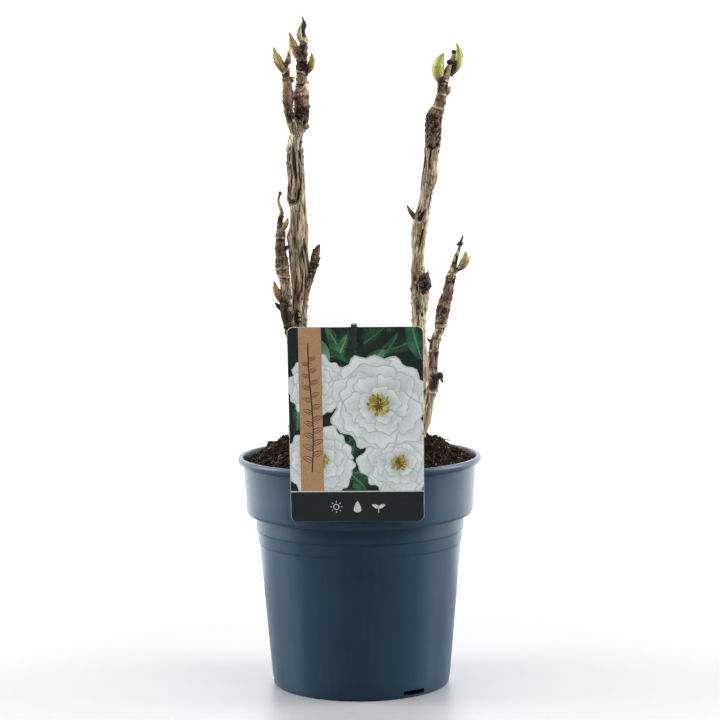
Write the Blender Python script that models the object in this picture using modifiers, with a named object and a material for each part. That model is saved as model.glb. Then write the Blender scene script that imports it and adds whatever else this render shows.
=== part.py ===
"""Potted tree peony in late winter: two bare woody stems, a low side stem, side shoots and
swelling buds, standing in a peat-filled nursery pot with a plant label hooked on a small stake.

Metres, +Z up. The origin is the centre of the pot's underside and the label faces -Y.
Sizes below are millimetres, and MM turns them into metres.
"""
import math
import random

import bmesh
import bpy
from mathutils import Matrix, Vector

MM = 0.001
GAP = 0.3            # clearance between pieces that touch

# Pot: a round moulded nursery pot with a skirt, a rolled rim and drain slots
POT_HEIGHT = 160.5
RIM_R = 85.0
LIP_R = 81.6
SKIRT_TOP_R = 81.0
SKIRT_FOOT_R = 78.5
SKIRT_FOOT_Z = 120.5
NECK_R = 72.75
NECK_FOOT_Z = 100.0
BODY_R = 62.7        # at BODY_Z
BODY_Z = 8.0
BODY_FLARE = 0.0857  # growth of the radius with height
FOOT_R = 60.8
WALL = 1.6
FLOOR = 1.4
CHANNEL_IN = 34.0    # raised ring under the floor
CHANNEL_OUT = 50.0
CHANNEL_RISE = 3.0
CHANNEL_SLOPE = 2.0
FLOOR_POINTS = 6     # points of the inside's profile that lie on the floor
POT_STEPS = 48
SLOT_COUNT = 3
SLOT_FIRST = 35.5    # degrees from the front towards +X
SLOT_WIDTH = 17.0
SLOT_LOW = 1.7
SLOT_HIGH = 5.0
SLOT_REACH = 9.0     # the cutter's depth through the wall

# Peat: a low mound
MOUND_TOP = 181.8
MOUND_FALL = 0.0038  # drop per square millimetre of radius
MOUND_R = 79.9
MOUND_RINGS = 7
SOCKET_HEIGHT = 14.0
SOCKET_SIDES = 16

# Label card, leaning on the rim and the skirt, and the stake that it hooks on
CARD_W = 88.3
CARD_H = 133.5
CARD_T = 0.6
CARD_CORNER = 4.0
CARD_TILT = math.radians(10.5)
CARD_YAW = math.radians(-1.5)
CARD_CENTRE = (-1.8, -92.3, 192.6)
STAKE_W = 4.0
STAKE_T = 1.5
STAKE_L = 178.0
STAKE_POINT = 14.0
STAKE_X = -0.6       # across the card
STAKE_LEAN = math.radians(2.7)   # past the card's own tilt
HOOK_T = 1.1
HOOK_L = 9.5
HOOK_BARB_W = 6.0
HOOK_BARB_L = 5.5

# Growth
TRUNK_SIDES = 12
TWIG_SIDES = 8
TRUNK_STEP = 4.0
TWIG_STEP = 2.4
TIP_STRAIGHT = 1.2   # straight run on each side of a joint between limb and shoot
# Outgrowth profiles: the share of the length and the share of the radius there
BUD_PROFILE = ((0.0, 0.50), (0.16, 0.80), (0.38, 1.0), (0.6, 0.86), (0.8, 0.52), (0.93, 0.24), (1.0, 0.07))
STUB_PROFILE = ((0.0, 1.0), (0.35, 0.82), (0.7, 0.92), (1.0, 0.62))
PLUMP_PROFILE = ((0.0, 0.42), (0.15, 0.72), (0.35, 0.96), (0.58, 1.0), (0.78, 0.76), (0.92, 0.4), (1, 0.08))
CLAW_PROFILE = ((0.0, 1.0), (0.3, 0.9), (0.55, 0.8), (0.8, 0.42), (1.0, 0.2))
SCAR_R = 1.5
SCAR_RISE = 2.6
SCAR_PROUD = (1.0, 1.7)
GOLDEN_ANGLE = math.radians(137.5)
SEED = 11

# Limbs, from foot to tip: (x, y, z, radius) where each one bends, swells or narrows.
# LEFT_TOP, RIGHT_TOP, LEFT_SIDE and RIGHT_LOW grow on from the tip of the limb named with them.
LEFT_STEM = (
    (-41.5, 5.0, 169.5, 8.4),
    (-41.5, 5.0, 176.5, 8.0),
    (-41.6, 4.5, 196.0, 6.4),
    (-41.4, 3.0, 259.0, 5.7),
    (-39.9, 2.0, 286.0, 7.1),
    (-40.9, 1.0, 299.0, 6.7),
    (-41.5, 0.0, 314.0, 7.2),
    (-41.8, -1.6, 337.0, 6.5),
    (-41.7, -2.0, 352.0, 5.8),
    (-42.5, -2.0, 369.0, 5.8),
    (-42.0, -2.0, 381.0, 4.6),
    (-39.3, -1.4, 390.0, 5.2),
    (-37.8, -1.0, 398.0, 5.1),
    (-37.6, -1.0, 412.4, 5.1),
)
RIGHT_STEM = (
    (39.5, 6.0, 169.5, 7.4),
    (39.5, 6.0, 177.0, 6.9),
    (41.6, 6.0, 199.0, 4.9),
    (44.0, 6.0, 216.0, 6.0),
    (42.4, 6.0, 240.0, 4.6),
    (42.4, 6.0, 256.0, 4.7),
    (43.2, 6.0, 270.5, 6.1),
    (41.9, 5.0, 287.0, 4.4),
    (42.3, 4.6, 303.0, 4.3),
    (43.3, 3.0, 318.3, 5.4),
    (46.8, 2.0, 334.0, 4.6),
    (48.6, 1.0, 344.4, 4.4),
    (50.5, 0.0, 353.3, 5.4),
    (51.0, -1.0, 363.0, 4.7),
    (52.5, -2.0, 377.0, 5.0),
    (53.8, -3.6, 395.0, 5.3),
    (56.3, -4.0, 400.6, 4.1),
    (58.7, -4.2, 408.5, 3.6),
)
LOW_STEM = (
    (42.3, -8.5, 168.8, 4.4),
    (42.3, -8.5, 175.5, 4.1),
    (46.4, -8.2, 185.0, 3.3),
    (49.7, -8.0, 199.9, 2.9),
    (51.9, -8.0, 210.5, 3.4),
    (51.7, -8.0, 218.7, 3.0),
    (52.6, -9.0, 237.6, 3.4),
    (56.0, -10.0, 248.0, 3.2),
    (57.6, -10.4, 256.0, 4.1),
    (59.3, -11.0, 265.0, 4.1),
)
SIDE_BOUGH = (
    (-41.0, 0.0, 222.0, 3.0),
    (-44.6, -4.2, 234.0, 3.3),
    (-48.2, -6.0, 252.0, 3.2),
    (-50.0, -6.0, 262.0, 4.0),
)
LEFT_FORK = (
    (-41.5, -3.0, 382.0, 2.8),
    (-44.7, -6.6, 393.0, 3.0),
    (-46.5, -7.4, 400.7, 2.8),
    (-46.7, -7.4, 409.0, 3.7),
    (-46.8, -7.4, 416.0, 3.1),
    (-47.6, -7.4, 422.5, 2.6),
    (-48.0, -7.4, 427.6, 2.9),
)
LEFT_TOP = (
    (-37.5, -1.0, 414.0, 4.2),
    (-37.1, -1.0, 419.5, 3.9),
    (-37.2, -1.0, 427.0, 3.7),
    (-36.8, -1.0, 436.0, 3.2),
    (-35.9, -1.0, 443.5, 2.7),
    (-35.3, -1.0, 448.2, 3.0),
)
LEFT_SIDE = (
    (-49.8, -6.0, 274.4, 3.2),
    (-50.3, -6.0, 283.2, 3.4),
    (-51.9, -6.0, 290.0, 4.2),
    (-52.3, -6.0, 297.0, 4.0),
    (-53.4, -6.0, 305.2, 3.3),
    (-52.9, -6.0, 316.5, 2.9),
    (-53.2, -6.0, 324.0, 1.9),
    (-52.1, -6.0, 329.8, 1.7),
    (-54.2, -6.0, 338.0, 1.2),
    (-53.0, -6.0, 343.0, 1.2),
)
LEFT_SPUR = (
    (-38.0, 0.0, 271.0, 2.2),
    (-33.3, -2.2, 283.5, 2.5),
    (-30.8, -2.6, 290.2, 1.9),
    (-29.2, -2.8, 294.0, 3.2),
    (-28.6, -2.8, 300.0, 2.8),
    (-27.6, -2.8, 304.5, 1.9),
    (-26.5, -2.8, 307.2, 0.8),
)
RIGHT_TOP = (
    (59.3, -5.0, 413.0, 3.0),
    (60.1, -5.0, 418.6, 3.3),
    (61.8, -5.0, 422.6, 2.9),
    (64.4, -5.0, 428.4, 2.2),
)
RIGHT_LOW = (
    (61.4, -11.2, 272.0, 3.4),
    (63.1, -11.8, 280.0, 2.8),
    (64.4, -12.0, 286.4, 3.0),
    (65.8, -12.0, 289.6, 2.0),
)

# Buds, stubs and dried tips: (foot, tip, radius, sideways bow)
LEFT_FORK_BUDS = (((-48.6, -7.6, 425.4), (-56.2, -9.0, 443.0), 3.0, 0.8),)
LEFT_FORK_STUBS = (
    ((-47.6, -7.8, 426.0), (-43.8, -9.8, 441.2), 2.2, 0.0),
    ((-45.0, -7.0, 419.0), (-42.9, -6.0, 423.0), 1.0, 0.0),
)
LEFT_TOP_BUDS = (
    ((-38.0, -1.6, 432.0), (-45.4, -1.8, 453.6), 2.9, 0.9),
    ((-35.2, -1.4, 423.6), (-30.6, -2.6, 439.4), 2.5, -2.4),
    ((-37.2, -2.0, 446.6), (-37.6, -3.0, 457.7), 1.7, 0.9),
)
LEFT_TOP_CLAW = ((-35.0, -1.0, 447.0), (-36.1, -0.8, 463.9), 1.8, -1.1)
LEFT_SIDE_BUDS = (
    ((-52.4, -6.2, 269.0), (-57.9, -7.4, 283.2), 2.0, 0.5),
    ((-52.4, -6.4, 317.0), (-47.4, -8.0, 326.7), 1.8, -0.5),
)
LEFT_SIDE_STUBS = (
    ((-53.0, -6.0, 265.0), (-56.4, -6.6, 268.2), 1.4, 0.0),
    ((-51.4, -6.4, 305.0), (-47.9, -7.0, 307.0), 1.0, 0.0),
)
RIGHT_TOP_BUDS = (
    ((59.2, -5.8, 417.4), (60.6, -7.4, 437.7), 4.2, 3.7),
    ((65.4, -5.2, 423.4), (69.0, -6.2, 444.6), 2.9, -3.4),
    ((61.6, -5.2, 409.0), (64.8, -5.8, 415.2), 1.6, 0.0),
)
RIGHT_TOP_STUBS = (((63.8, -5.4, 426.0), (67.2, -6.0, 438.0), 1.7, -0.4),)
RIGHT_LOW_BUDS = (((68.6, -12.0, 289.6), (74.2, -12.6, 302.4), 2.8, -2.4),)
RIGHT_LOW_STALK = ((65.6, -12.0, 287.4), (69.8, -12.0, 291.4), 1.5, -0.6)
RIGHT_LOW_TIP = (
    (65.8, -12.2, 289.0, 1.9),
    (67.2, -12.2, 297.0, 1.7),
    (69.4, -12.0, 302.6, 1.0),
    (70.6, -12.0, 307.0, 0.8),
    (72.4, -12.0, 312.8, 0.6),
)
STAR_HEIGHT = 307.4
STAR_ARM = 2.6
STAR_ARMS = 4
STAR_TURN = math.radians(25.0)
RIGHT_HOOK = ((42.6, 1.8, 324.0), (34.8, 0.6, 334.0), 1.9, 0.5)
RIGHT_KNOB = ((47.1, 4.4, 280.6), 4.0)
RIGHT_THORN = ((48.6, 4.0, 282.0), (48.9, 4.0, 289.0), 1.0, 0.0)
LEFT_KNOB = ((-36.6, -1.6, 388.2), (-33.2, -1.8, 389.2), 2.4, 0.0)
LOW_NUBS = (
    ((51.6, -9.0, 240.0), (48.6, -9.4, 243.0), 1.7, 0.0),
    ((53.4, -8.4, 213.0), (57.0, -9.0, 216.4), 1.7, 0.0),
)


def clear_scene():
    for item in list(bpy.data.objects):
        bpy.data.objects.remove(item, do_unlink=True)


def new_collection(name):
    group = bpy.data.collections.new(name)
    bpy.context.scene.collection.children.link(group)
    return group


def new_material(name, colour, roughness):
    material = bpy.data.materials.new(name)
    material.use_nodes = True
    shader = material.node_tree.nodes["Principled BSDF"]
    shader.inputs["Base Color"].default_value = (*colour, 1.0)
    shader.inputs["Roughness"].default_value = roughness
    shader.inputs["Metallic"].default_value = 0.0
    material.diffuse_color = (*colour, 1.0)
    return material


def link_mesh(name, mesh, group):
    item = bpy.data.objects.new(name, mesh)
    group.objects.link(item)
    return item


def as_cutter(item):
    item.hide_render = True
    item.display_type = "WIRE"
    return item


def curve_to_mesh(curve_object, name, group):
    """A closed mesh object in place of a curve object, with its caps welded."""
    bpy.context.view_layer.update()
    graph = bpy.context.evaluated_depsgraph_get()
    mesh = bpy.data.meshes.new_from_object(curve_object.evaluated_get(graph))
    mesh.name = name
    work = bmesh.new()
    work.from_mesh(mesh)
    bmesh.ops.remove_doubles(work, verts=work.verts, dist=0.002 * MM)
    bmesh.ops.recalc_face_normals(work, faces=work.faces)
    work.to_mesh(mesh)
    work.free()
    item = link_mesh(name, mesh, group)
    item.matrix_world = curve_object.matrix_world
    bpy.data.objects.remove(curve_object, do_unlink=True)
    return item


def station_slopes(stations):
    """The change of place and radius per millimetre of run at each station."""
    knots = [Vector(station) for station in stations]
    spans = [(b - a).to_3d().length for a, b in zip(knots, knots[1:])]
    slopes = []
    for i in range(len(knots)):
        before = max(i - 1, 0)
        after = min(i + 1, len(knots) - 1)
        slopes.append((knots[after] - knots[before]) / sum(spans[before:after]))
    return knots, spans, slopes


def smooth_route(stations, step, first=0, last=None):
    """Points every step or so on a smooth curve through the stations, each with its radius."""
    knots, spans, slopes = station_slopes(stations)
    last = len(spans) if last is None else last
    route = []
    for i in range(first, last):
        count = max(1, round(spans[i] / step))
        for k in range(count):
            t = k / count
            h1 = 1.0 + t * t * (2.0 * t - 3.0)
            h2 = t * t * (3.0 - 2.0 * t)
            h3 = t * (1.0 - t) ** 2 * spans[i]
            h4 = t * t * (t - 1.0) * spans[i]
            route.append(knots[i] * h1 + knots[i + 1] * h2 + slopes[i] * h3 + slopes[i + 1] * h4)
    route.append(knots[last])
    return route


def tube(name, route, sides, group, grow=0.0):
    """A closed round limb along the route, whose points hold x, y, z and the radius."""
    data = bpy.data.curves.new(name, "CURVE")
    data.dimensions = "3D"
    data.bevel_depth = MM
    data.bevel_resolution = (sides - 4) // 2
    data.use_fill_caps = True
    spline = data.splines.new("POLY")
    spline.points.add(len(route) - 1)
    for point, (x, y, z, radius) in zip(spline.points, route):
        point.co = (x * MM, y * MM, z * MM, 1.0)
        point.radius = radius + grow
    curve_object = bpy.data.objects.new(name + "_curve", data)
    group.objects.link(curve_object)
    return curve_to_mesh(curve_object, name, group)


def limb(name, stations, sides, step, group, grow=0.0, beyond=()):
    """A limb through its stations, cut flat at its foot and square at its tip to what lies beyond."""
    route = smooth_route(stations + beyond, step, 0, len(stations) - 1)
    route[1].x = route[0].x
    route[1].y = route[0].y
    if beyond:
        ahead = station_slopes(stations + beyond)[2][len(stations) - 1]
        route[-2] = route[-1] - ahead * TIP_STRAIGHT
    return tube(name, route, sides, group, grow)


def shoot(name, below, stations, sides, step, group):
    """A shoot that grows on from the tip of the limb below, a gap clear of it."""
    joint = len(below) - 1
    route = smooth_route(below + stations, step, joint)
    ahead = station_slopes(below + stations)[2][joint]
    ahead = ahead / ahead.to_3d().length
    route[0] = route[0] + ahead * GAP
    route[1] = route[0] + ahead * TIP_STRAIGHT
    return tube(name, route, sides, group)


def bowed_route(foot, tip, radius, bow, profile):
    """Points from foot to tip, bent sideways by bow in the plane of the view from the front."""
    start = Vector(foot)
    run = Vector(tip) - start
    side = Vector((-run.z, 0.0, run.x)).normalized()
    route = []
    for t, share in profile:
        point = start + run * t + side * (bow * 4.0 * t * (1.0 - t))
        route.append((*point, radius * share))
    return route


def outgrowth(name, spec, profile, group):
    foot, tip, radius, bow = spec
    return tube(name, bowed_route(foot, tip, radius, bow, profile), TWIG_SIDES, group)


def outgrowths(name, specs, profile, group):
    return [outgrowth(f"{name}_{i}", spec, profile, group) for i, spec in enumerate(specs)]


def scars(name, stations, first, last, count, seed, group):
    """Small dormant buds up the back of a limb, turned on from one another by the golden angle."""
    chance = random.Random(seed)
    route = smooth_route(stations, 1.0)
    turn = chance.uniform(0.0, 2.0 * math.pi)
    made = []
    for i in range(count):
        share = first + (last - first) * (i + chance.uniform(0.2, 0.8)) / count
        x, y, z, radius = route[round(share * (len(route) - 1))]
        turn += GOLDEN_ANGLE
        back = math.pi * (0.12 + 0.76 * (turn / math.pi % 1.0))
        out = Vector((math.cos(back), math.sin(back), 0.0))
        foot = Vector((x, y, z)) + out * radius * 0.55
        tip = Vector((x, y, z)) + out * (radius + chance.uniform(*SCAR_PROUD)) + Vector((0.0, 0.0, SCAR_RISE))
        made.append(outgrowth(f"{name}_scar_{i}", (foot, tip, SCAR_R, 0.0), STUB_PROFILE, group))
    return made


def fuse(name, pieces, group):
    """One closed body from overlapping pieces, by a union on a collection."""
    body = pieces[0]
    body.name = name
    body.data.name = name
    if len(pieces) > 1:
        others = bpy.data.collections.new(name + "_pieces")
        bpy.context.scene.collection.children.link(others)
        for piece in pieces[1:]:
            others.objects.link(piece)
            group.objects.unlink(piece)
        union = body.modifiers.new("Union", "BOOLEAN")
        union.operand_type = "COLLECTION"
        union.collection = others
        union.operation = "UNION"
        union.solver = "EXACT"
        apply_modifiers(body)
        for piece in list(others.objects):
            bpy.data.objects.remove(piece, do_unlink=True)
        bpy.data.collections.remove(others)
    return body


def apply_modifiers(item):
    bpy.context.view_layer.update()
    graph = bpy.context.evaluated_depsgraph_get()
    mesh = bpy.data.meshes.new_from_object(item.evaluated_get(graph))
    mesh.name = item.name
    item.modifiers.clear()
    item.data = mesh


def cut(item, cutter, name="Cut"):
    difference = item.modifiers.new(name, "BOOLEAN")
    difference.operation = "DIFFERENCE"
    difference.solver = "EXACT"
    difference.object = cutter
    return difference


def finish(item, material):
    item.data.materials.clear()
    item.data.materials.append(material)
    item.data.shade_smooth()
    item.data.set_sharp_from_angle(angle=math.radians(40))


def turned(name, profile, group):
    """A body of revolution from a profile that runs down its outer side."""
    mesh = bpy.data.meshes.new(name)
    points = [(radius * MM, 0.0, height * MM) for radius, height in profile]
    mesh.from_pydata(points, [(i, i + 1) for i in range(len(points) - 1)], [])
    item = link_mesh(name, mesh, group)
    screw = item.modifiers.new("Screw", "SCREW")
    screw.steps = POT_STEPS
    screw.render_steps = POT_STEPS
    screw.use_merge_vertices = True
    screw.merge_threshold = 0.00002
    return item


def inner_wall():
    """The pot's inside, from the middle of the floor up to the lip."""
    inner_body = BODY_R - WALL
    neck_z = SKIRT_FOOT_Z + 1.3
    return [
        (0.0, FLOOR),
        (CHANNEL_IN - 1.0, FLOOR),
        (CHANNEL_IN - 1.0 + CHANNEL_SLOPE, FLOOR + CHANNEL_RISE),
        (CHANNEL_OUT + 1.0 - CHANNEL_SLOPE, FLOOR + CHANNEL_RISE),
        (CHANNEL_OUT + 1.0, FLOOR),
        (FOOT_R - WALL, FLOOR),
        (inner_body - 0.7, BODY_Z - 4.0),
        (inner_body, BODY_Z),
        (body_radius(NECK_FOOT_Z - 2.0) - WALL, NECK_FOOT_Z - 2.0),
        (NECK_R - WALL - 0.2, NECK_FOOT_Z + 9.0),
        (NECK_R - WALL, SKIRT_FOOT_Z - 3.0),
        (NECK_R - 0.2, neck_z - 0.6),
        (SKIRT_FOOT_R - 1.4, neck_z),
        (SKIRT_FOOT_R - 1.0, neck_z + 2.0),
        (SKIRT_TOP_R - WALL, POT_HEIGHT - 8.5),
        (LIP_R - 0.5, POT_HEIGHT - 2.2),
        (LIP_R, POT_HEIGHT - 0.5),
    ]


def body_radius(z):
    return BODY_R + BODY_FLARE * (z - BODY_Z)


def outer_wall():
    """From the top of the rim down to the middle of the underside."""
    return [
        (LIP_R + 0.6, POT_HEIGHT),
        (RIM_R - 1.0, POT_HEIGHT),
        (RIM_R - 0.25, POT_HEIGHT - 0.9),
        (RIM_R, POT_HEIGHT - 2.1),
        (RIM_R - 0.3, POT_HEIGHT - 3.6),
        (RIM_R - 1.6, POT_HEIGHT - 4.9),
        (SKIRT_TOP_R + 0.1, POT_HEIGHT - 5.8),
        (SKIRT_FOOT_R + 1.5, SKIRT_FOOT_Z + 18.5),
        (SKIRT_FOOT_R + 0.5, SKIRT_FOOT_Z + 1.6),
        (SKIRT_FOOT_R - 0.6, SKIRT_FOOT_Z - 0.1),
        (NECK_R + 0.6, SKIRT_FOOT_Z - 0.8),
        (NECK_R, SKIRT_FOOT_Z - 1.6),
        (NECK_R - 0.1, NECK_FOOT_Z + 9.2),
        (NECK_R - 0.95, NECK_FOOT_Z + 8.8),
        (NECK_R - 1.65, NECK_FOOT_Z + 0.4),
        (body_radius(NECK_FOOT_Z - 2.0), NECK_FOOT_Z - 0.6),
        (BODY_R, BODY_Z),
        (BODY_R - 0.6, BODY_Z - 4.3),
        (FOOT_R + 0.8, 0.8),
        (FOOT_R, 0.0),
        (CHANNEL_OUT, 0.0),
        (CHANNEL_OUT - CHANNEL_SLOPE, CHANNEL_RISE),
        (CHANNEL_IN + CHANNEL_SLOPE, CHANNEL_RISE),
        (CHANNEL_IN, 0.0),
        (0.0, 0.0),
    ]


def make_pot(group, cutters):
    pot = turned("pot", inner_wall() + outer_wall(), group)
    for i in range(SLOT_COUNT):
        turn = math.radians(SLOT_FIRST + 360.0 / SLOT_COUNT * i)
        out = Vector((math.sin(turn), -math.cos(turn), 0.0))
        bpy.ops.mesh.primitive_cube_add(size=1.0)
        slot = bpy.context.object
        slot.name = f"drain_slot_{i}"
        slot.scale = Vector((SLOT_WIDTH, SLOT_REACH, SLOT_HIGH - SLOT_LOW)) * MM
        slot.location = (out * FOOT_R + Vector((0.0, 0.0, (SLOT_HIGH + SLOT_LOW) / 2.0))) * MM
        slot.rotation_euler = (0.0, 0.0, turn)
        for holder in list(slot.users_collection):
            holder.objects.unlink(slot)
        cutters.objects.link(as_cutter(slot))
        cut(pot, slot, f"Slot {i}")
    return pot


def mound(radius):
    return MOUND_TOP - MOUND_FALL * radius * radius


def soil_profile():
    """The mound out to the wall, then down the wall and along the floor, a gap clear of both."""
    rings = [MOUND_R * k / MOUND_RINGS for k in range(MOUND_RINGS + 1)]
    mound_line = [(radius, mound(radius)) for radius in rings]
    inside = inner_wall()
    floor = []
    for (radius, height), shift in zip(inside[:FLOOR_POINTS], (0.0, -GAP, -GAP, GAP, GAP, -2.0 * GAP)):
        floor.append((radius + shift, height + GAP))
    side = []
    for radius, height in inside[FLOOR_POINTS:]:
        if height < mound(MOUND_R) - GAP * 4.0:
            on_shoulder = SKIRT_FOOT_Z < height < SKIRT_FOOT_Z + 2.0
            side.append((radius - GAP * 1.3, height + (GAP if on_shoulder else 0.0)))
    return mound_line + side[::-1] + floor[::-1]


def make_soil(group, cutters, stake_cutter):
    soil = turned("soil", soil_profile(), group)
    for name, stations in (("left_foot", LEFT_STEM), ("right_foot", RIGHT_STEM), ("low_foot", LOW_STEM)):
        x, y, z, radius = stations[0]
        socket = tube(
            name + "_socket",
            [(x, y, z - GAP, radius + GAP), (x, y, z + SOCKET_HEIGHT, radius + GAP)],
            SOCKET_SIDES,
            cutters,
        )
        cut(soil, as_cutter(socket), name)
    cut(soil, stake_cutter, "stake")
    return soil


def card_frame():
    """The card's axes in the world: across, up along the card, and out of its front."""
    turn = Matrix.Rotation(CARD_YAW, 3, "Z")
    across = turn @ Vector((1.0, 0.0, 0.0))
    up = turn @ Vector((0.0, -math.sin(CARD_TILT), math.cos(CARD_TILT)))
    front = across.cross(up)
    frame = Matrix((across, up, front)).transposed().to_4x4()
    frame.translation = Vector(CARD_CENTRE) * MM
    return frame


def rounded_outline(width, height, corner, steps):
    points = []
    for cx, cy, start in ((1, 1, 0.0), (-1, 1, 90.0), (-1, -1, 180.0), (1, -1, 270.0)):
        for k in range(steps + 1):
            angle = math.radians(start + 90.0 * k / steps)
            x = cx * (width / 2.0 - corner) + corner * math.cos(angle)
            y = cy * (height / 2.0 - corner) + corner * math.sin(angle)
            points.append((x, y))
    return points


def flat_plate(name, outline, thickness, group):
    """A flat outline in the XY plane, thickened evenly to both sides."""
    data = bpy.data.curves.new(name, "CURVE")
    data.dimensions = "2D"
    data.fill_mode = "BOTH"
    data.extrude = thickness / 2.0 * MM
    spline = data.splines.new("POLY")
    spline.points.add(len(outline) - 1)
    for point, (x, y) in zip(spline.points, outline):
        point.co = (x * MM, y * MM, 0.0, 1.0)
    spline.use_cyclic_u = True
    curve_object = bpy.data.objects.new(name + "_curve", data)
    group.objects.link(curve_object)
    return curve_to_mesh(curve_object, name, group)


def stake_pieces(prefix, grow, group):
    """The stake's blade, the bridge over the card's top edge and the barbed tongue in front."""
    frame = card_frame()
    top = CARD_H / 2.0 + GAP + STAKE_T
    half = STAKE_W / 2.0 + grow
    outline = [
        (half, grow),
        (-half, grow),
        (-half, STAKE_POINT - STAKE_L),
        (0.0, -STAKE_L - grow),
        (half, STAKE_POINT - STAKE_L),
    ]
    blade = flat_plate(prefix + "_blade", outline, STAKE_T + 2.0 * grow, group)
    lean = Matrix.Rotation(STAKE_LEAN, 4, "X")
    face = Matrix.Translation(Vector((STAKE_X, top, -CARD_T / 2.0 - GAP)) * MM)
    inset = Matrix.Translation(Vector((0.0, 0.0, -STAKE_T / 2.0)) * MM)
    blade.matrix_world = frame @ face @ lean @ inset
    if grow > 0.0:
        return [blade]
    tongue_z = CARD_T / 2.0 + GAP + HOOK_T / 2.0
    depth = CARD_T + 2.0 * GAP + STAKE_T + HOOK_T
    bridge_outline = [
        (half, top),
        (-half, top),
        (-half, CARD_H / 2.0 + GAP),
        (half, CARD_H / 2.0 + GAP),
    ]
    bridge = flat_plate(prefix + "_bridge", bridge_outline, depth - 0.2, group)
    bridge.matrix_world = frame @ Matrix.Translation(Vector((STAKE_X, 0.0, (HOOK_T - STAKE_T) / 2.0)) * MM)
    low = CARD_H / 2.0 - HOOK_L
    slim = half - 0.1
    tongue_outline = [
        (slim, top - 0.1),
        (-slim, top - 0.1),
        (-slim, low),
        (-HOOK_BARB_W / 2.0, low - 0.8),
        (-HOOK_BARB_W / 2.0 + 0.6, low - HOOK_BARB_L * 0.6),
        (-0.8, low - HOOK_BARB_L),
        (0.8, low - HOOK_BARB_L),
        (HOOK_BARB_W / 2.0 - 0.6, low - HOOK_BARB_L * 0.6),
        (HOOK_BARB_W / 2.0, low - 0.8),
        (slim, low),
    ]
    tongue = flat_plate(prefix + "_tongue", tongue_outline, HOOK_T, group)
    tongue.matrix_world = frame @ Matrix.Translation(Vector((STAKE_X, 0.0, tongue_z)) * MM)
    return [blade, bridge, tongue]


def make_label(group, cutters):
    card = flat_plate("label_card", rounded_outline(CARD_W, CARD_H, CARD_CORNER, 4), CARD_T, group)
    card.matrix_world = card_frame()
    stake = fuse("label_stake", stake_pieces("stake", 0.0, group), group)
    slot = stake_pieces("stake_slot", GAP, cutters)[0]
    return card, stake, as_cutter(slot)


def make_left_growth(group, cutters):
    """The left stem with its fork, its top shoot, its low side shoot and its spur."""
    stem = limb("left_stem_tube", LEFT_STEM, TRUNK_SIDES, TRUNK_STEP, group, 0.0, LEFT_TOP)
    knob = outgrowth("left_knob", LEFT_KNOB, STUB_PROFILE, group)
    stem_parts = [stem, knob] + scars("left_stem", LEFT_STEM, 0.18, 0.80, 4, SEED, group)
    shell = as_cutter(limb("left_stem_shell", LEFT_STEM, TRUNK_SIDES, TRUNK_STEP, cutters, GAP, LEFT_TOP))

    bough = limb("left_side_bough", SIDE_BOUGH, TWIG_SIDES + 2, TWIG_STEP, group, 0.0, LEFT_SIDE)
    cut(bough, shell)

    side = [shoot("left_side_axis", SIDE_BOUGH, LEFT_SIDE, TWIG_SIDES + 2, TWIG_STEP, group)]
    side += outgrowths("left_side_bud", LEFT_SIDE_BUDS, BUD_PROFILE, group)
    side += outgrowths("left_side_stub", LEFT_SIDE_STUBS, CLAW_PROFILE, group)
    side += scars("left_side", LEFT_SIDE, 0.30, 0.62, 2, SEED + 1, group)

    fork = [tube("left_fork_axis", smooth_route(LEFT_FORK, TWIG_STEP), TWIG_SIDES + 2, group)]
    fork += outgrowths("left_fork_bud", LEFT_FORK_BUDS, BUD_PROFILE, group)
    fork += outgrowths("left_fork_stub", LEFT_FORK_STUBS, STUB_PROFILE, group)
    fork_twigs = fuse("left_fork_twigs", fork, group)
    cut(fork_twigs, shell)

    top = [shoot("left_top_axis", LEFT_STEM, LEFT_TOP, TWIG_SIDES + 2, TWIG_STEP, group)]
    top += outgrowths("left_top_bud", LEFT_TOP_BUDS, BUD_PROFILE, group)
    top.append(outgrowth("left_top_claw", LEFT_TOP_CLAW, CLAW_PROFILE, group))
    top += scars("left_top", LEFT_TOP, 0.15, 0.75, 2, SEED + 2, group)

    spur = tube("left_spur_twigs", smooth_route(LEFT_SPUR, TWIG_STEP), TWIG_SIDES + 2, group)
    cut(spur, shell)
    return [
        fuse("left_stem", stem_parts, group),
        bough,
        fuse("left_side_twigs", side, group),
        fork_twigs,
        fuse("left_top_twigs", top, group),
        spur,
    ]


def make_knob(name, spec, group):
    centre, radius = spec
    mesh = bpy.data.meshes.new(name)
    work = bmesh.new()
    bmesh.ops.create_uvsphere(work, u_segments=10, v_segments=7, radius=radius * MM)
    work.to_mesh(mesh)
    work.free()
    mesh.transform(Matrix.Translation(Vector(centre) * MM))
    return link_mesh(name, mesh, group)


def star_arms(group):
    """Short arms round the dried tip of the low stem, on a ring tipped towards the front."""
    route = smooth_route(RIGHT_LOW_TIP, 1.0)
    x, y, z, radius = min(route, key=lambda point: abs(point.z - STAR_HEIGHT))
    arms = []
    for k in range(STAR_ARMS):
        turn = STAR_TURN + 2.0 * math.pi * k / STAR_ARMS
        out = Vector((math.cos(turn), 0.45 * math.sin(turn), 0.25 + 0.45 * math.sin(turn)))
        tip = Vector((x, y, z)) + out * STAR_ARM
        arms.append(tube(f"star_arm_{k}", [(x, y, z, radius), (*tip, radius * 0.55)], TWIG_SIDES, group))
    return arms


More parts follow.
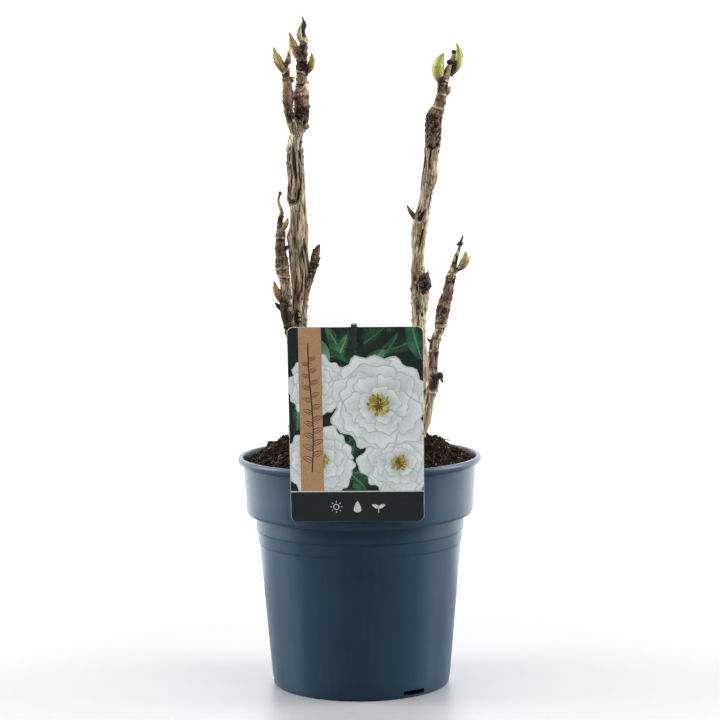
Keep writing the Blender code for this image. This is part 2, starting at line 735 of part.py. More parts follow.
def make_right_growth(group):
    """The right stem with its top, and the low stem in front of it with its own top."""
    stem = [limb("right_stem_tube", RIGHT_STEM, TRUNK_SIDES, TRUNK_STEP, group, 0.0, RIGHT_TOP)]
    stem.append(outgrowth("right_hook", RIGHT_HOOK, CLAW_PROFILE, group))
    stem.append(make_knob("right_knob", RIGHT_KNOB, group))
    stem.append(outgrowth("right_thorn", RIGHT_THORN, CLAW_PROFILE, group))
    stem += scars("right_stem", RIGHT_STEM, 0.20, 0.90, 3, SEED + 3, group)

    top = [shoot("right_top_axis", RIGHT_STEM, RIGHT_TOP, TWIG_SIDES + 2, TWIG_STEP, group)]
    top += outgrowths("right_top_bud", RIGHT_TOP_BUDS, PLUMP_PROFILE, group)
    top += outgrowths("right_top_stub", RIGHT_TOP_STUBS, STUB_PROFILE, group)

    low = [limb("low_stem_tube", LOW_STEM, TWIG_SIDES + 2, TWIG_STEP, group, 0.0, RIGHT_LOW)]
    low += outgrowths("low_nub", LOW_NUBS, STUB_PROFILE, group)

    tip = [shoot("right_low_axis", LOW_STEM, RIGHT_LOW, TWIG_SIDES + 2, TWIG_STEP, group)]
    tip.append(tube("right_low_tip", smooth_route(RIGHT_LOW_TIP, TWIG_STEP), TWIG_SIDES, group))
    tip.append(outgrowth("right_low_stalk", RIGHT_LOW_STALK, STUB_PROFILE, group))
    tip += outgrowths("right_low_bud", RIGHT_LOW_BUDS, PLUMP_PROFILE, group)
    tip += star_arms(group)
    tip += scars("right_low", RIGHT_LOW, 0.10, 0.80, 2, SEED + 4, group)
    return [
        fuse("right_stem", stem, group),
        fuse("right_top_twigs", top, group),
        fuse("low_stem", low, group),
        fuse("low_stem_twigs", tip, group),
    ]


def main():
    clear_scene()
    plant = new_collection("potted_tree_peony")
    cutters = new_collection("cutters")
    plastic = new_material("pot_plastic", (0.045, 0.082, 0.118), 0.42)
    peat = new_material("peat", (0.030, 0.020, 0.013), 0.95)
    print_film = new_material("label_print", (0.09, 0.17, 0.12), 0.35)
    stake_plastic = new_material("stake_plastic", (0.02, 0.03, 0.025), 0.45)
    bark = new_material("bark", (0.30, 0.23, 0.16), 0.9)
    bud_skin = new_material("bud_and_young_bark", (0.25, 0.24, 0.12), 0.7)

    pot = make_pot(plant, cutters)
    card, stake, stake_slot = make_label(plant, cutters)
    soil = make_soil(plant, cutters, stake_slot)
    finish(pot, plastic)
    finish(soil, peat)
    finish(card, print_film)
    finish(stake, stake_plastic)
    for item in make_left_growth(plant, cutters) + make_right_growth(plant):
        finish(item, bud_skin if item.name.endswith("twigs") else bark)


main()
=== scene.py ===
"""Looks of the potted tree peony: pot, peat, label, bark, buds, light and camera.

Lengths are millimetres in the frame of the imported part, and MM turns them into metres.
The pot's profile, the limbs' stations and the outgrowths repeat the part's source.
Angles round a limb count from its right side, so 90 degrees is the back and 270 the front.
"""
import itertools
import math
import random

import bmesh
import bpy
import numpy as np
from mathutils import Matrix, Vector


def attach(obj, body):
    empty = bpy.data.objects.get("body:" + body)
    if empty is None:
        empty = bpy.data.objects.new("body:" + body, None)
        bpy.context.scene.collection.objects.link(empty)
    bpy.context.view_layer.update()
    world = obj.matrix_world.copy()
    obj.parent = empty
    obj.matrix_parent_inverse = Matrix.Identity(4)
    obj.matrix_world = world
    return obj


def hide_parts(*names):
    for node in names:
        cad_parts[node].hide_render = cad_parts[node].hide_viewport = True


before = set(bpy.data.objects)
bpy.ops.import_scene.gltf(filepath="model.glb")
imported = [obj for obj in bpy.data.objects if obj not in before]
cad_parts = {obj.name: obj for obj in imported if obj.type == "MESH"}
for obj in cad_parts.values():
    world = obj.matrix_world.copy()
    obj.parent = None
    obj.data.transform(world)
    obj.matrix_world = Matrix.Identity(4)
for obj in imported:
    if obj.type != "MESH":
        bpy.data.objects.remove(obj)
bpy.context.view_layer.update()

MM = 0.001
BODY = "root"

# Camera, at the photograph's viewing angle
CAMERA_PLACE = (1.0, -1481.0, 366.0)
CAMERA_PITCH = 5.37
CAMERA_ROLL = -0.54
SENSOR = 36.0
LENS = 106.8
FAR_CLIP = 20.0

# White walls: how far back a ray points where the front's strength ends and the back's is reached,
# and the two strengths, first as light and then as they shine back from gloss
WALL_DEPTHS = (-1.0, 0.7)
WALL_LIGHT = (0.10, 0.75)
WALL_SHINE = (0.15, 2.2)
LIGHT_AIM = (0.0, 0.0, 230.0)
# (name, place, size, watts)
SOFT_BOXES = (
    ("left_box", (-1100.0, -1100.0, 1500.0), (800.0, 800.0), 9.2),
    ("right_box", (1100.0, -1100.0, 1500.0), (800.0, 800.0), 9.2),
    ("left_side_box", (-1250.0, 50.0, 600.0), (700.0, 1200.0), 19.5),
    ("right_side_box", (1250.0, 50.0, 600.0), (700.0, 1200.0), 19.5),
)

# Floor: a round table top whose far edge shows behind the pot
FLOOR_R = 864.0
FLOOR_Y = -549.0
FLOOR_T = 6.0
FLOOR_SEGMENTS = 256
# The floor's edge from the underside up: (inset, height)
FLOOR_EDGE = ((2.0, -FLOOR_T), (0.0, 2.0 - FLOOR_T), (0.0, -1.0), (1.0, -0.02))

# Pot
POT_HEIGHT = 160.5
RIM_R = 85.0
LIP_R = 81.6
SKIRT_TOP_R = 81.0
SKIRT_FOOT_R = 78.5
SKIRT_FOOT_Z = 120.5
NECK_R = 72.75
NECK_FOOT_Z = 100.0
BODY_R = 62.7
BODY_Z = 8.0
BODY_FLARE = 0.0857
FOOT_R = 60.8
WALL = 1.6
FLOOR = 1.4
CHANNEL_IN = 34.0
CHANNEL_OUT = 50.0
CHANNEL_RISE = 3.0
CHANNEL_SLOPE = 2.0
POT_SEGMENTS = 256
CORNER_REACH = 0.4
SLOT_COUNT = 3
SLOT_FIRST = 35.5
SLOT_WIDTH = 17.0
SLOT_LOW = 1.7
SLOT_HIGH = 5.0
SLOT_REACH = 9.0

# Peat
MOUND_TOP = 181.8
MOUND_FALL = 0.0038
MOUND_R = 80.4
MOUND_RINGS = 130
MOUND_SPOKES = 330
PEAT_SEED = 5
# Lumps of the mound: (height, width)
PEAT_LUMPS = ((1.2, 15.0), (1.2, 6.5), (0.9, 3.1), (0.5, 1.4))

# Label card and its stake
CARD_W = 88.3
CARD_H = 133.5
CARD_T = 0.6
CARD_CORNER = 4.0
CARD_TILT = math.radians(10.5)
CARD_YAW = math.radians(-1.5)
CARD_CENTRE = (-1.8, -92.3, 192.6)

# The printed picture: blossoms (x, y, radius, turn), the paper strip and the dark band
FLOWERS = (
    (-24.0, -24.0, 24.0, 0.4), (28.0, -26.0, 25.0, 1.3), (-26.0, 26.0, 20.0, 2.2), (15.0, 14.0, 33.0, 0.1),
)
STRIP_LEFT = -37.0
STRIP_W = 15.0
BAND_TOP = -46.0

# Rings of petals from the outside in: (count, reach, half spread in radians)
PETAL_RINGS = ((7, 1.0, 0.66), (6, 0.8, 0.64), (6, 0.61, 0.6), (5, 0.42, 0.66))

# Stamens in a blossom, leaves in the foliage, and pairs of leaves up the sprig
STAMENS = 110
LEAVES = 64
SPRIG_LEAVES = 9
# The sprig's tone, and how far the outer care signs stand from the middle one
SPRIG_TONE = 0.3
SIGN_X = 14.0
# A little past the card's side and end, where its outline cuts the print
PAST_SIDE = 46.0
PAST_END = 68.0

# Inks: (name, colours as position, red, green, blue, roughness, grain)
PICTURE_INKS = (
    (
        "print_foliage",
        (
            (0.0, 14, 30, 24), (0.25, 22, 54, 40), (0.5, 40, 92, 64),
            (0.75, 82, 140, 102), (1.0, 150, 186, 150),
        ),
        0.28,
        0.05,
    ),
    (
        "print_petals",
        ((0.0, 122, 142, 128), (0.3, 176, 192, 182), (0.6, 218, 226, 224), (1.0, 244, 247, 247)),
        0.28,
        0.02,
    ),
    ("print_stamens", ((0.0, 84, 72, 24), (0.5, 178, 150, 52), (1.0, 228, 206, 104)), 0.3, 0.0),
)

# Plain inks: (name, two colours, fineness, bump depth, roughness)
BAND_INKS = (
    ("print_paper", (178, 138, 100), (208, 170, 130), 1.9, 0.003, 0.4),
    ("print_ink", (52, 38, 32), (66, 50, 42), 2.0, 0.002, 0.4),
    ("print_band", (20, 30, 30), (24, 36, 35), 0.5, 0.003, 0.3),
    ("print_line", (205, 210, 204), (222, 226, 220), 0.5, 0.003, 0.3),
)

# Limbs, from foot to tip: (x, y, z, radius)
LEFT_STEM = (
    (-41.5, 5.0, 169.5, 8.4), (-41.5, 5.0, 176.5, 8.0), (-41.6, 4.5, 196.0, 6.4), (-41.4, 3.0, 259.0, 5.7),
    (-39.9, 2.0, 286.0, 7.1), (-40.9, 1.0, 299.0, 6.7), (-41.5, 0.0, 314.0, 7.2), (-41.8, -1.6, 337.0, 6.5),
    (-41.7, -2.0, 352.0, 5.8), (-42.5, -2.0, 369.0, 5.8), (-42.0, -2.0, 381.0, 4.6),
    (-39.3, -1.4, 390.0, 5.2), (-37.8, -1.0, 398.0, 5.1), (-37.6, -1.0, 412.4, 5.1),
)
LEFT_TOP = (
    (-37.5, -1.0, 414.0, 4.2), (-37.1, -1.0, 419.5, 3.9), (-37.2, -1.0, 427.0, 3.7),
    (-36.8, -1.0, 436.0, 3.2), (-35.9, -1.0, 443.5, 2.7), (-35.3, -1.0, 448.2, 3.0),
)
LEFT_FORK = (
    (-41.5, -3.0, 382.0, 2.8), (-44.7, -6.6, 393.0, 3.0), (-46.5, -7.4, 400.7, 2.8),
    (-46.7, -7.4, 409.0, 3.7), (-46.8, -7.4, 416.0, 3.1), (-47.6, -7.4, 422.5, 2.6),
    (-48.0, -7.4, 427.6, 2.9),
)
SIDE_BOUGH = (
    (-41.0, 0.0, 222.0, 3.0), (-44.6, -4.2, 234.0, 3.3), (-48.2, -6.0, 252.0, 3.2),
    (-50.0, -6.0, 262.0, 4.0),
)
LEFT_SIDE = (
    (-49.8, -6.0, 274.4, 3.2), (-50.3, -6.0, 283.2, 3.4), (-51.9, -6.0, 290.0, 4.2),
    (-52.3, -6.0, 297.0, 4.0), (-53.4, -6.0, 305.2, 3.3), (-52.9, -6.0, 316.5, 2.9),
    (-53.2, -6.0, 324.0, 1.9), (-52.1, -6.0, 329.8, 1.7), (-54.2, -6.0, 338.0, 1.2),
    (-53.0, -6.0, 343.0, 1.2),
)
LEFT_SPUR = (
    (-38.0, 0.0, 271.0, 2.2), (-33.3, -2.2, 283.5, 2.5), (-30.8, -2.6, 290.2, 1.9),
    (-30.0, -2.8, 294.0, 2.8), (-28.8, -2.8, 300.0, 2.6), (-27.6, -2.8, 304.5, 1.9),
    (-26.5, -2.8, 307.2, 0.8),
)
RIGHT_STEM = (
    (39.5, 6.0, 169.5, 7.4), (39.5, 6.0, 177.0, 6.9), (41.6, 6.0, 199.0, 4.9), (44.0, 6.0, 216.0, 6.0),
    (42.4, 6.0, 240.0, 4.6), (42.4, 6.0, 256.0, 4.7), (43.2, 6.0, 270.5, 6.1), (41.9, 5.0, 287.0, 4.4),
    (42.3, 4.6, 303.0, 4.3), (43.3, 3.0, 318.3, 5.4), (46.8, 2.0, 334.0, 4.6), (48.6, 1.0, 344.4, 4.4),
    (50.5, 0.0, 353.3, 5.4), (51.0, -1.0, 363.0, 4.7), (52.5, -2.0, 377.0, 5.0), (53.8, -3.6, 395.0, 5.3),
    (56.3, -4.0, 400.6, 4.1), (58.7, -4.2, 408.5, 3.6),
)
RIGHT_TOP = (
    (59.3, -5.0, 413.0, 3.0), (60.1, -5.0, 418.6, 3.3), (61.8, -5.0, 422.6, 2.9), (64.4, -5.0, 428.4, 2.2),
)
LOW_STEM = (
    (42.3, -8.5, 168.8, 4.4), (42.3, -8.5, 175.5, 4.1), (46.4, -8.2, 185.0, 3.3), (49.7, -8.0, 199.9, 2.9),
    (51.9, -8.0, 210.5, 3.4), (51.7, -8.0, 218.7, 3.0), (52.6, -9.0, 237.6, 3.4), (56.0, -10.0, 248.0, 3.2),
    (57.6, -10.4, 256.0, 4.1), (59.3, -11.0, 265.0, 4.1),
)
RIGHT_LOW = (
    (61.4, -11.2, 272.0, 3.4), (63.1, -11.8, 280.0, 2.8), (64.4, -12.0, 286.4, 3.0),
    (65.8, -12.0, 289.6, 2.0),
)
RIGHT_LOW_TIP = (
    (65.8, -12.2, 289.0, 1.9), (67.2, -12.2, 297.0, 1.7), (69.4, -12.0, 302.6, 1.0),
    (70.6, -12.0, 307.0, 0.8), (72.4, -12.0, 312.8, 0.6),
)

# How each limb's bark changes with height: (z, young, grooved, flaky, stained), each from 0 to 1
LEFT_STEM_ZONES = (
    (165, 0.0, 1.0, 0.0, 0.1), (248, 0.0, 1.0, 0.1, 0.4), (260, 0.05, 1.0, 0.1, 0.28),
    (280, 0.05, 0.92, 0.0, 0.08), (300, 0.0, 0.9, 0.0, 0.0), (346, 0.05, 0.95, 0.0, 0.18),
    (356, 0.35, 1.0, 0.0, 0.5), (372, 0.4, 1.0, 0.05, 0.53), (388, 0.4, 0.9, 0.1, 0.53),
    (392, 0.4, 0.8, 0.2, 0.5), (394.5, 0.9, 0.45, 0.2, 0.95), (401, 0.9, 0.4, 0.15, 0.9),
    (406, 0.9, 0.45, 0.1, 0.55), (412, 0.85, 0.4, 0.1, 0.5),
)
LEFT_TOP_ZONES = (
    (412, 0.6, 0.3, 0.2, 0.3), (417, 0.8, 0.3, 0.1, 0.5), (424, 0.8, 0.3, 0.1, 0.45),
    (427, 0.9, 0.3, 0.2, 0.85), (432, 0.9, 0.3, 0.1, 0.75), (436, 0.8, 0.3, 0.1, 0.65),
    (443, 0.9, 0.3, 0.1, 0.85), (445, 0.5, 0.3, 0.1, 0.4), (448, 0.2, 0.3, 0.0, 0.1),
)
LEFT_FORK_ZONES = (
    (380, 0.0, 1.0, 0.0, 0.0), (391, 0.1, 1.0, 0.1, 0.2), (395.5, 0.9, 0.4, 0.4, 0.8),
    (408, 0.9, 0.35, 0.4, 0.5), (412, 0.9, 0.35, 0.2, 0.35), (421, 0.9, 0.3, 0.1, 0.25),
    (424, 0.9, 0.3, 0.1, 0.85), (428, 0.5, 0.3, 0.1, 0.3),
)
SIDE_BOUGH_ZONES = ((222, 0.4, 0.6, 0.2, 0.5), (243, 0.8, 0.5, 0.15, 1.0), (262, 0.8, 0.5, 0.15, 1.0))
LEFT_SIDE_ZONES = (
    (262, 0.7, 0.6, 0.2, 0.9), (269, 0.5, 0.6, 0.3, 0.45), (280, 0.4, 0.5, 0.2, 0.15),
    (285, 0.7, 0.35, 0.5, 0.3), (292, 0.9, 0.25, 0.7, 0.55), (303, 0.9, 0.25, 0.3, 0.6),
    (309, 0.9, 0.25, 0.2, 0.4), (311, 0.9, 0.3, 0.2, 0.7), (318, 0.7, 0.3, 0.2, 0.4),
    (323, 0.8, 0.3, 0.2, 0.9), (328, 0.5, 0.3, 0.1, 0.15), (338, 0.45, 0.4, 0.0, 0.2),
    (343, 0.5, 0.3, 0.0, 0.9),
)
LEFT_SPUR_ZONES = ((271, 0.7, 0.5, 0.3, 0.5), (290, 0.9, 0.4, 0.3, 0.7), (307, 1.0, 0.4, 0.2, 0.9))
RIGHT_STEM_ZONES = (
    (165, 0.0, 0.75, 0.0, 0.0), (250, 0.0, 0.65, 0.05, 0.0), (266, 0.0, 0.65, 0.1, 0.06),
    (274, 0.3, 0.5, 0.4, 0.35), (286, 0.3, 0.5, 0.3, 0.3), (293, 0.05, 0.55, 0.0, 0.2),
    (345, 0.15, 0.5, 0.0, 0.2), (366, 0.25, 0.5, 0.0, 0.28), (373, 0.4, 0.4, 0.2, 0.45),
    (380, 0.9, 0.35, 0.6, 0.7), (395, 0.9, 0.3, 0.7, 0.85), (399, 0.6, 0.3, 0.2, 0.35),
    (403, 0.7, 0.3, 0.1, 0.4), (409, 0.8, 0.3, 0.1, 0.55),
)
RIGHT_TOP_ZONES = (
    (407, 0.75, 0.3, 0.1, 0.45), (412, 0.9, 0.3, 0.2, 0.85), (418, 0.8, 0.3, 0.1, 0.7),
    (424, 0.6, 0.3, 0.1, 0.3), (429, 0.6, 0.3, 0.2, 0.6),
)
LOW_STEM_ZONES = (
    (165, 0.25, 0.3, 0.0, 0.16), (201, 0.3, 0.3, 0.0, 0.26), (205, 0.7, 0.3, 0.1, 0.6),
    (214, 0.6, 0.3, 0.1, 0.5), (218, 0.4, 0.5, 0.15, 0.5), (238, 0.35, 0.55, 0.1, 0.55),
    (248, 0.35, 0.4, 0.3, 0.4), (256, 0.6, 0.3, 0.6, 0.5), (262, 0.85, 0.3, 1.0, 0.75),
    (266, 0.8, 0.3, 1.0, 0.6),
)
RIGHT_LOW_ZONES = (
    (264, 0.7, 0.3, 0.8, 0.4), (269, 0.9, 0.3, 0.9, 0.7), (281, 0.8, 0.3, 0.8, 0.6),
    (286, 0.4, 0.3, 0.2, 0.2), (292, 0.6, 0.3, 0.1, 0.8), (297, 0.8, 0.3, 0.1, 1.0),
    (313, 0.9, 0.3, 0.1, 1.0),
)

# Rings left by old scales: (z, lift, half height, tilt, side that is higher in degrees)
LEFT_TOP_RINGS = (
    (425.6, 0.5, 0.75, 0.35, 180), (434.2, 0.45, 0.6, 0.25, 180), (447.2, 0.6, 0.55, 0.4, 180),
)
LEFT_FORK_RINGS = ((425.9, 0.55, 0.7, 0.45, 0),)
LEFT_SIDE_RINGS = (
    (285.8, 0.45, 0.6, 0.3, 180), (291.5, 0.25, 0.5, 0.1, 0), (312.6, 0.5, 0.6, 0.1, 0),
    (321.5, 0.3, 0.5, 0.2, 0),
)
LEFT_SPUR_RINGS = ((290.0, 0.4, 0.6, 0.2, 0),)
RIGHT_STEM_RINGS = ((400.4, 0.55, 0.6, 0.1, 0),)
RIGHT_TOP_RINGS = ((409.8, 0.5, 0.6, 0.1, 0), (418.9, 0.5, 0.6, 0.1, 0))
LOW_STEM_RINGS = ((204.6, 0.4, 0.7, 0.1, 0), (250.3, 0.5, 0.6, 0.15, 0), (254.2, 0.45, 0.6, 0.15, 0))
RIGHT_LOW_RINGS = ((286.6, 0.4, 0.6, 0.2, 0),)

# Wounds, splits and stains: (z, angle, half width, half height, slant, depth, dark, green). In a sunk mark
# the dark is partly painted shade in its hollow.
# A branch scar is an open ring, darkest at its lower side, with painted shade there and in its hollow: (z,
# angle, half width, half height, slant).
LEFT_STEM_MARKS = (
    (343.5, 288, 1.2, 4.6, -20, 0.8, 1.0, 0.0), (343.5, 214, 2.6, 7.0, 5, 0.5, 1.0, 0.0),
    (337.2, 232, 3.4, 1.5, 12, 0.6, 1.0, 0.0), (296.0, 186, 5.0, 14.5, 0, 1.7, 0.5, 0.0),
    (326.0, 184, 6.0, 11.0, 0, 2.1, 0.1, 0.0), (338.0, 210, 2.2, 2.6, 0, 0.6, 0.9, 0.0),
    (324.0, 322, 0.55, 15.0, -1, 0.9, 1.0, 0.0), (306.5, 314, 1.3, 6.0, 8, 1.2, 1.0, 0.0),
    (300.5, 299, 0.7, 7.0, 3, 0.8, 1.0, 0.0), (362.0, 268, 1.3, 14.0, 2, 1.0, 1.0, 0.0),
    (372.0, 303, 0.7, 9.0, 8, 0.8, 0.9, 0.0), (352.0, 236, 0.6, 9.0, -4, 0.6, 0.8, 0.0),
    (354.0, 296, 0.6, 10.0, 3, 0.6, 0.8, 0.0), (309.0, 258, 2.4, 4.5, 10, 0.1, 0.1, 0.4),
    (302.0, 214, 1.2, 11.0, 0, 1.2, 1.0, 0.0), (257.0, 264, 2.8, 6.0, 0, 0.4, 0.8, 0.0),
    (283.0, 285, 0.7, 9.0, -3, 0.7, 0.8, 0.0), (390.5, 312, 1.6, 2.6, 20, 1.3, 1.0, 0.0),
)
# The last mark is a painted shadow: a dark line just above the raised top edge of the left stem's upper cuff.
LEFT_TOP_MARKS = (
    (445.2, 280, 3.0, 1.3, 0, 0.0, 0.0, 0.7), (438.0, 286, 2.4, 3.4, 0, 0.2, 0.9, 0.0),
    (417.0, 285, 4.0, 0.7, -3, 0.3, 1.0, 0.0),
)
LEFT_FORK_MARKS = ((413.0, 196, 1.8, 3.0, 0, 0.3, 0.9, 0.0), (404.0, 200, 1.4, 4.0, 0, 0.2, 0.8, 0.0))
SIDE_BOUGH_MARKS = ((257.0, 266, 6.5, 9.5, 0, 0.0, 1.0, 0.0), (244.0, 290, 4.6, 7.0, 0, 0.0, 0.9, 0.0))
LEFT_SIDE_MARKS = ((266.0, 246, 4.0, 5.5, 0, 0.0, 0.95, 0.0),)
LEFT_STEM_SCARS = ((342.8, 238, 5.6, 6.2, 8),)
RIGHT_STEM_SCARS = ((327.5, 262, 2.4, 3.8, -15), (280.6, 305, 5.8, 7.0, 0), (378.5, 266, 4.6, 5.0, 0))
RIGHT_STEM_MARKS = (
    (326.5, 268, 1.7, 3.6, -16, 1.0, 1.0, 0.0), (314.0, 292, 0.8, 9.0, -7, 1.0, 1.0, 0.0),
    (358.0, 208, 0.7, 13.0, -3, 0.9, 1.0, 0.0), (364.0, 262, 0.9, 5.0, 0, 0.5, 0.8, 0.0),
    (280.6, 300, 3.6, 5.0, 0, -0.4, 0.95, 0.0), (262.0, 250, 0.8, 8.0, 10, 0.5, 0.7, 0.0),
    (200.5, 326, 3.0, 6.0, 0, 1.8, 1.0, 0.0), (371.5, 262, 1.0, 5.5, 0, 0.5, 1.0, 0.0),
    (263.0, 262, 0.7, 2.2, 20, 0.4, 0.9, 0.0), (258.0, 292, 0.8, 1.8, 10, 0.4, 0.9, 0.0),
)
LOW_STEM_MARKS = (
    (200.0, 212, 1.4, 5.0, 0, 0.8, 1.0, 0.0), (231.0, 300, 0.9, 5.0, 0, 0.4, 0.8, 0.0),
    (243.0, 262, 1.2, 3.0, 10, 0.4, 0.7, 0.0), (231.0, 213, 2.4, 12.5, 0, 0.2, 0.8, 0.0),
    (211.5, 252, 4.4, 5.8, -10, 0.9, 1.0, 0.0),
)

# Buds: (foot, tip, radius, sideways bow)
LEFT_SIDE_BUDS = (
    ((-53.4, -7.6, 268.6), (-58.2, -8.0, 283.4), 2.4, 0.5),
    ((-52.4, -6.4, 317.0), (-47.4, -8.0, 326.7), 1.8, -0.5),
)
LEFT_FORK_BUDS = (((-48.6, -7.6, 425.4), (-56.2, -9.0, 443.0), 3.0, 0.8),)
LEFT_TOP_BUDS = (
    ((-38.6, -2.2, 434.6), (-45.4, -2.2, 453.6), 2.9, 0.7),
    ((-33.2, -1.8, 425.6), (-30.4, -2.6, 439.3), 2.4, -1.6),
)
RIGHT_TOP_BUDS = (
    ((59.2, -5.8, 417.4), (60.6, -7.4, 437.7), 4.2, 3.7),
    ((65.4, -5.2, 423.4), (69.0, -6.2, 444.6), 2.9, -3.4),
    ((61.6, -5.2, 409.0), (64.8, -5.8, 415.2), 1.6, 0.0),
)
RIGHT_LOW_BUDS = (((68.6, -12.0, 289.6), (74.2, -12.6, 302.4), 2.8, -2.4),)

# Stubs, stalks and dry claws: (foot, tip, radius, sideways bow)
LEFT_KNOB = ((-36.6, -1.6, 388.2), (-33.2, -1.8, 389.2), 2.4, 0.0)
LEFT_SIDE_STUBS = (
    ((-53.4, -6.6, 264.2), (-57.4, -7.2, 268.0), 1.7, 0.3),
    ((-51.6, -6.4, 303.0), (-46.9, -7.0, 307.2), 1.9, 0.4),
)
LEFT_FORK_STUBS = (
    ((-48.4, -8.0, 426.6), (-46.6, -9.0, 434.6), 1.8, 0.0),
    ((-46.5, -9.2, 431.6), (-44.7, -9.8, 441.6), 2.1, 0.0),
    ((-45.4, -7.4, 419.8), (-42.0, -7.8, 422.4), 1.9, 0.0),
)
LEFT_TOP_HEELS = (
    ((-37.2, -3.6, 433.4), (-40.4, -4.2, 443.2), 2.5, 0.0),
    ((-34.4, -3.0, 424.4), (-31.9, -3.8, 431.8), 1.6, -0.4),
)
LEFT_TOP_HUSK = ((-37.7, -2.2, 446.8), (-37.3, -2.6, 458.4), 2.0, 0.9)
RIGHT_HOOK = ((42.8, 1.6, 323.0), (34.8, 0.6, 334.0), 2.1, 1.1)
RIGHT_THORN = ((48.6, 4.0, 282.0), (48.9, 4.0, 289.0), 1.0, 0.0)
RIGHT_TOP_STUB = ((63.8, -5.4, 426.0), (67.2, -6.0, 438.0), 1.7, -0.4)
RIGHT_LOW_STALK = ((65.6, -12.0, 287.4), (69.8, -12.0, 291.4), 1.5, -0.6)
LOW_NUBS = (
    ((52.6, -9.8, 240.2), (47.4, -10.2, 242.6), 1.3, 0.9),
    ((53.4, -8.4, 213.0), (57.0, -9.0, 216.4), 1.7, 0.0),
)

# Old scales that sheathe the left spur, and pale ones on the low stem's dead tip: rows as above
SPUR_SCALES = (
    ((-31.8, -3.0, 288.6), (-30.0, -4.2, 298.4), 2.3, 0.3),
    ((-30.0, -3.4, 295.0), (-27.6, -4.0, 305.8), 1.8, 0.2),
    ((-29.6, -2.8, 299.0), (-30.4, -3.2, 304.6), 1.0, 0.0),
)
TIP_SCALES = (
    ((65.8, -13.8, 295.4), (67.0, -14.2, 299.6), 1.1, 0.0),
    ((68.4, -12.9, 299.4), (69.5, -13.2, 303.4), 0.95, 0.0),
    ((64.9, -14.2, 288.2), (63.7, -14.6, 293.4), 1.2, 0.0),
    ((69.2, -13.6, 290.8), (73.0, -13.9, 292.4), 1.1, 0.0),
)

# Scales beside the right stem's top: (a row as above, tones)
RIGHT_TOP_SCALES = (
    (((64.6, -6.6, 422.6), (68.6, -8.0, 432.6), 1.7, -0.9), (0.9, 1.0, 0.0, 0.0)),
    (((62.3, -7.0, 422.4), (64.0, -8.2, 429.6), 1.9, -0.3), (0.0, 0.1, 0.3, 0.9)),
)

# Dried curls and a splinter of bark: (x, y, z, radius)
LEFT_TOP_CLAW = (
    (-34.9, -1.0, 446.6, 2.5), (-35.6, -1.0, 450.4, 1.8), (-35.9, -1.0, 454.0, 1.5),
    (-35.3, -0.9, 458.6, 1.75), (-35.6, -0.8, 460.9, 0.9), (-36.2, -0.8, 463.2, 0.5),
)
LOW_CURL = (
    (55.0, -9.2, 215.0, 1.2), (56.3, -9.4, 217.6, 1.3), (57.6, -9.6, 216.0, 1.0), (57.2, -9.8, 213.6, 0.9),
    (58.2, -9.9, 212.0, 0.7),
)
LEFT_SLIVER = (
    (-47.1, -4.4, 313.6, 1.6), (-46.4, -4.4, 307.0, 1.6), (-45.7, -4.0, 297.0, 1.5),
    (-45.2, -3.4, 287.0, 1.3), (-44.6, -2.6, 276.0, 0.9),
)

# Lumps: (centre, radius, squash)
ROUND = (1.0, 1.0, 1.0)
FORK_CORE = ((-45.5, -10.9, 437.8), 1.25, (0.8, 0.6, 1.7))
FORK_EYE = ((-42.9, -9.0, 421.2), 0.75, (1.0, 0.6, 1.2))
SIDE_TIP_BALL = ((-53.0, -6.0, 343.2), 1.1, ROUND)
RIGHT_TOP_HEEL = ((58.6, -8.4, 419.6), 2.1, (1.2, 0.7, 1.1))

# Round lumps: (x, y, z, radius)
RIGHT_KNOB = (
    (46.6, 2.2, 280.8, 4.3), (48.0, 0.6, 277.6, 2.6), (44.4, -0.4, 279.0, 2.4), (46.4, 0.4, 284.2, 2.2),
)
RIGHT_TOP_BALLS = ((64.2, -6.6, 431.6, 1.9), (67.0, -6.4, 438.6, 1.4))

# Star of dry scales on the low stem's dead tip
STAR_HEIGHT = 307.4
STAR_ARM = 2.9
STAR_ARMS = 4
STAR_TURN = math.radians(25.0)

# Girth of an outgrowth from foot to tip: (share of the way, share of the radius)
BUD_PROFILE = ((0.0, 0.50), (0.16, 0.80), (0.38, 1.0), (0.6, 0.86), (0.8, 0.52), (0.93, 0.24), (1.0, 0.03))
PLUMP_PROFILE = (
    (0.0, 0.42), (0.15, 0.72), (0.35, 0.96), (0.58, 1.0), (0.78, 0.76), (0.92, 0.4), (1.0, 0.03),
)
STUB_PROFILE = ((0.0, 1.0), (0.35, 0.82), (0.7, 0.92), (1.0, 0.62))
CLAW_PROFILE = ((0.0, 1.0), (0.3, 0.9), (0.55, 0.8), (0.8, 0.42), (1.0, 0.2))

# The left side shoot's withered tip: heights, and the share of the girth left there
SIDE_TIP_THINS = ((322.0, 331.0, 341.0), (1.0, 0.8, 0.65))

# Broken collars of bark: (low, high, first angle, last angle, lift, young, seed, fall)
LEFT_CUFFS = (
    (409.4, 416.6, 222, 380, 1.0, 0.1, 3, 5.2), (407.0, 413.6, 60, 170, 0.7, 0.15, 8),
    (374.0, 383.6, 170, 262, 0.5, 0.1, 5),
)

# Strips of loose bark: (angle, low, high, width, lift, seed, whether the top is loose)
LEFT_STRIPS = ((352, 296.0, 322.0, 2.4, 0.5, 5), (298, 372.0, 388.0, 2.6, 0.5, 6))
RIGHT_STRIPS = (
    (318, 186.0, 207.0, 3.6, 1.3, 11), (285, 318.0, 332.0, 2.2, 0.6, 12),
    (190, 344.0, 370.0, 1.8, 0.4, 13, False),
)
# Rows of strips: (count, first height, step, length, turn, width, lift, seed)
LEFT_STRIP_ROW = (10, 186.0, 17.5, 22.0, 30, 2.0, 0.35, 30)
RIGHT_STRIP_ROW = (8, 184.0, 20.0, 24.0, 80, 1.8, 0.3, 50)

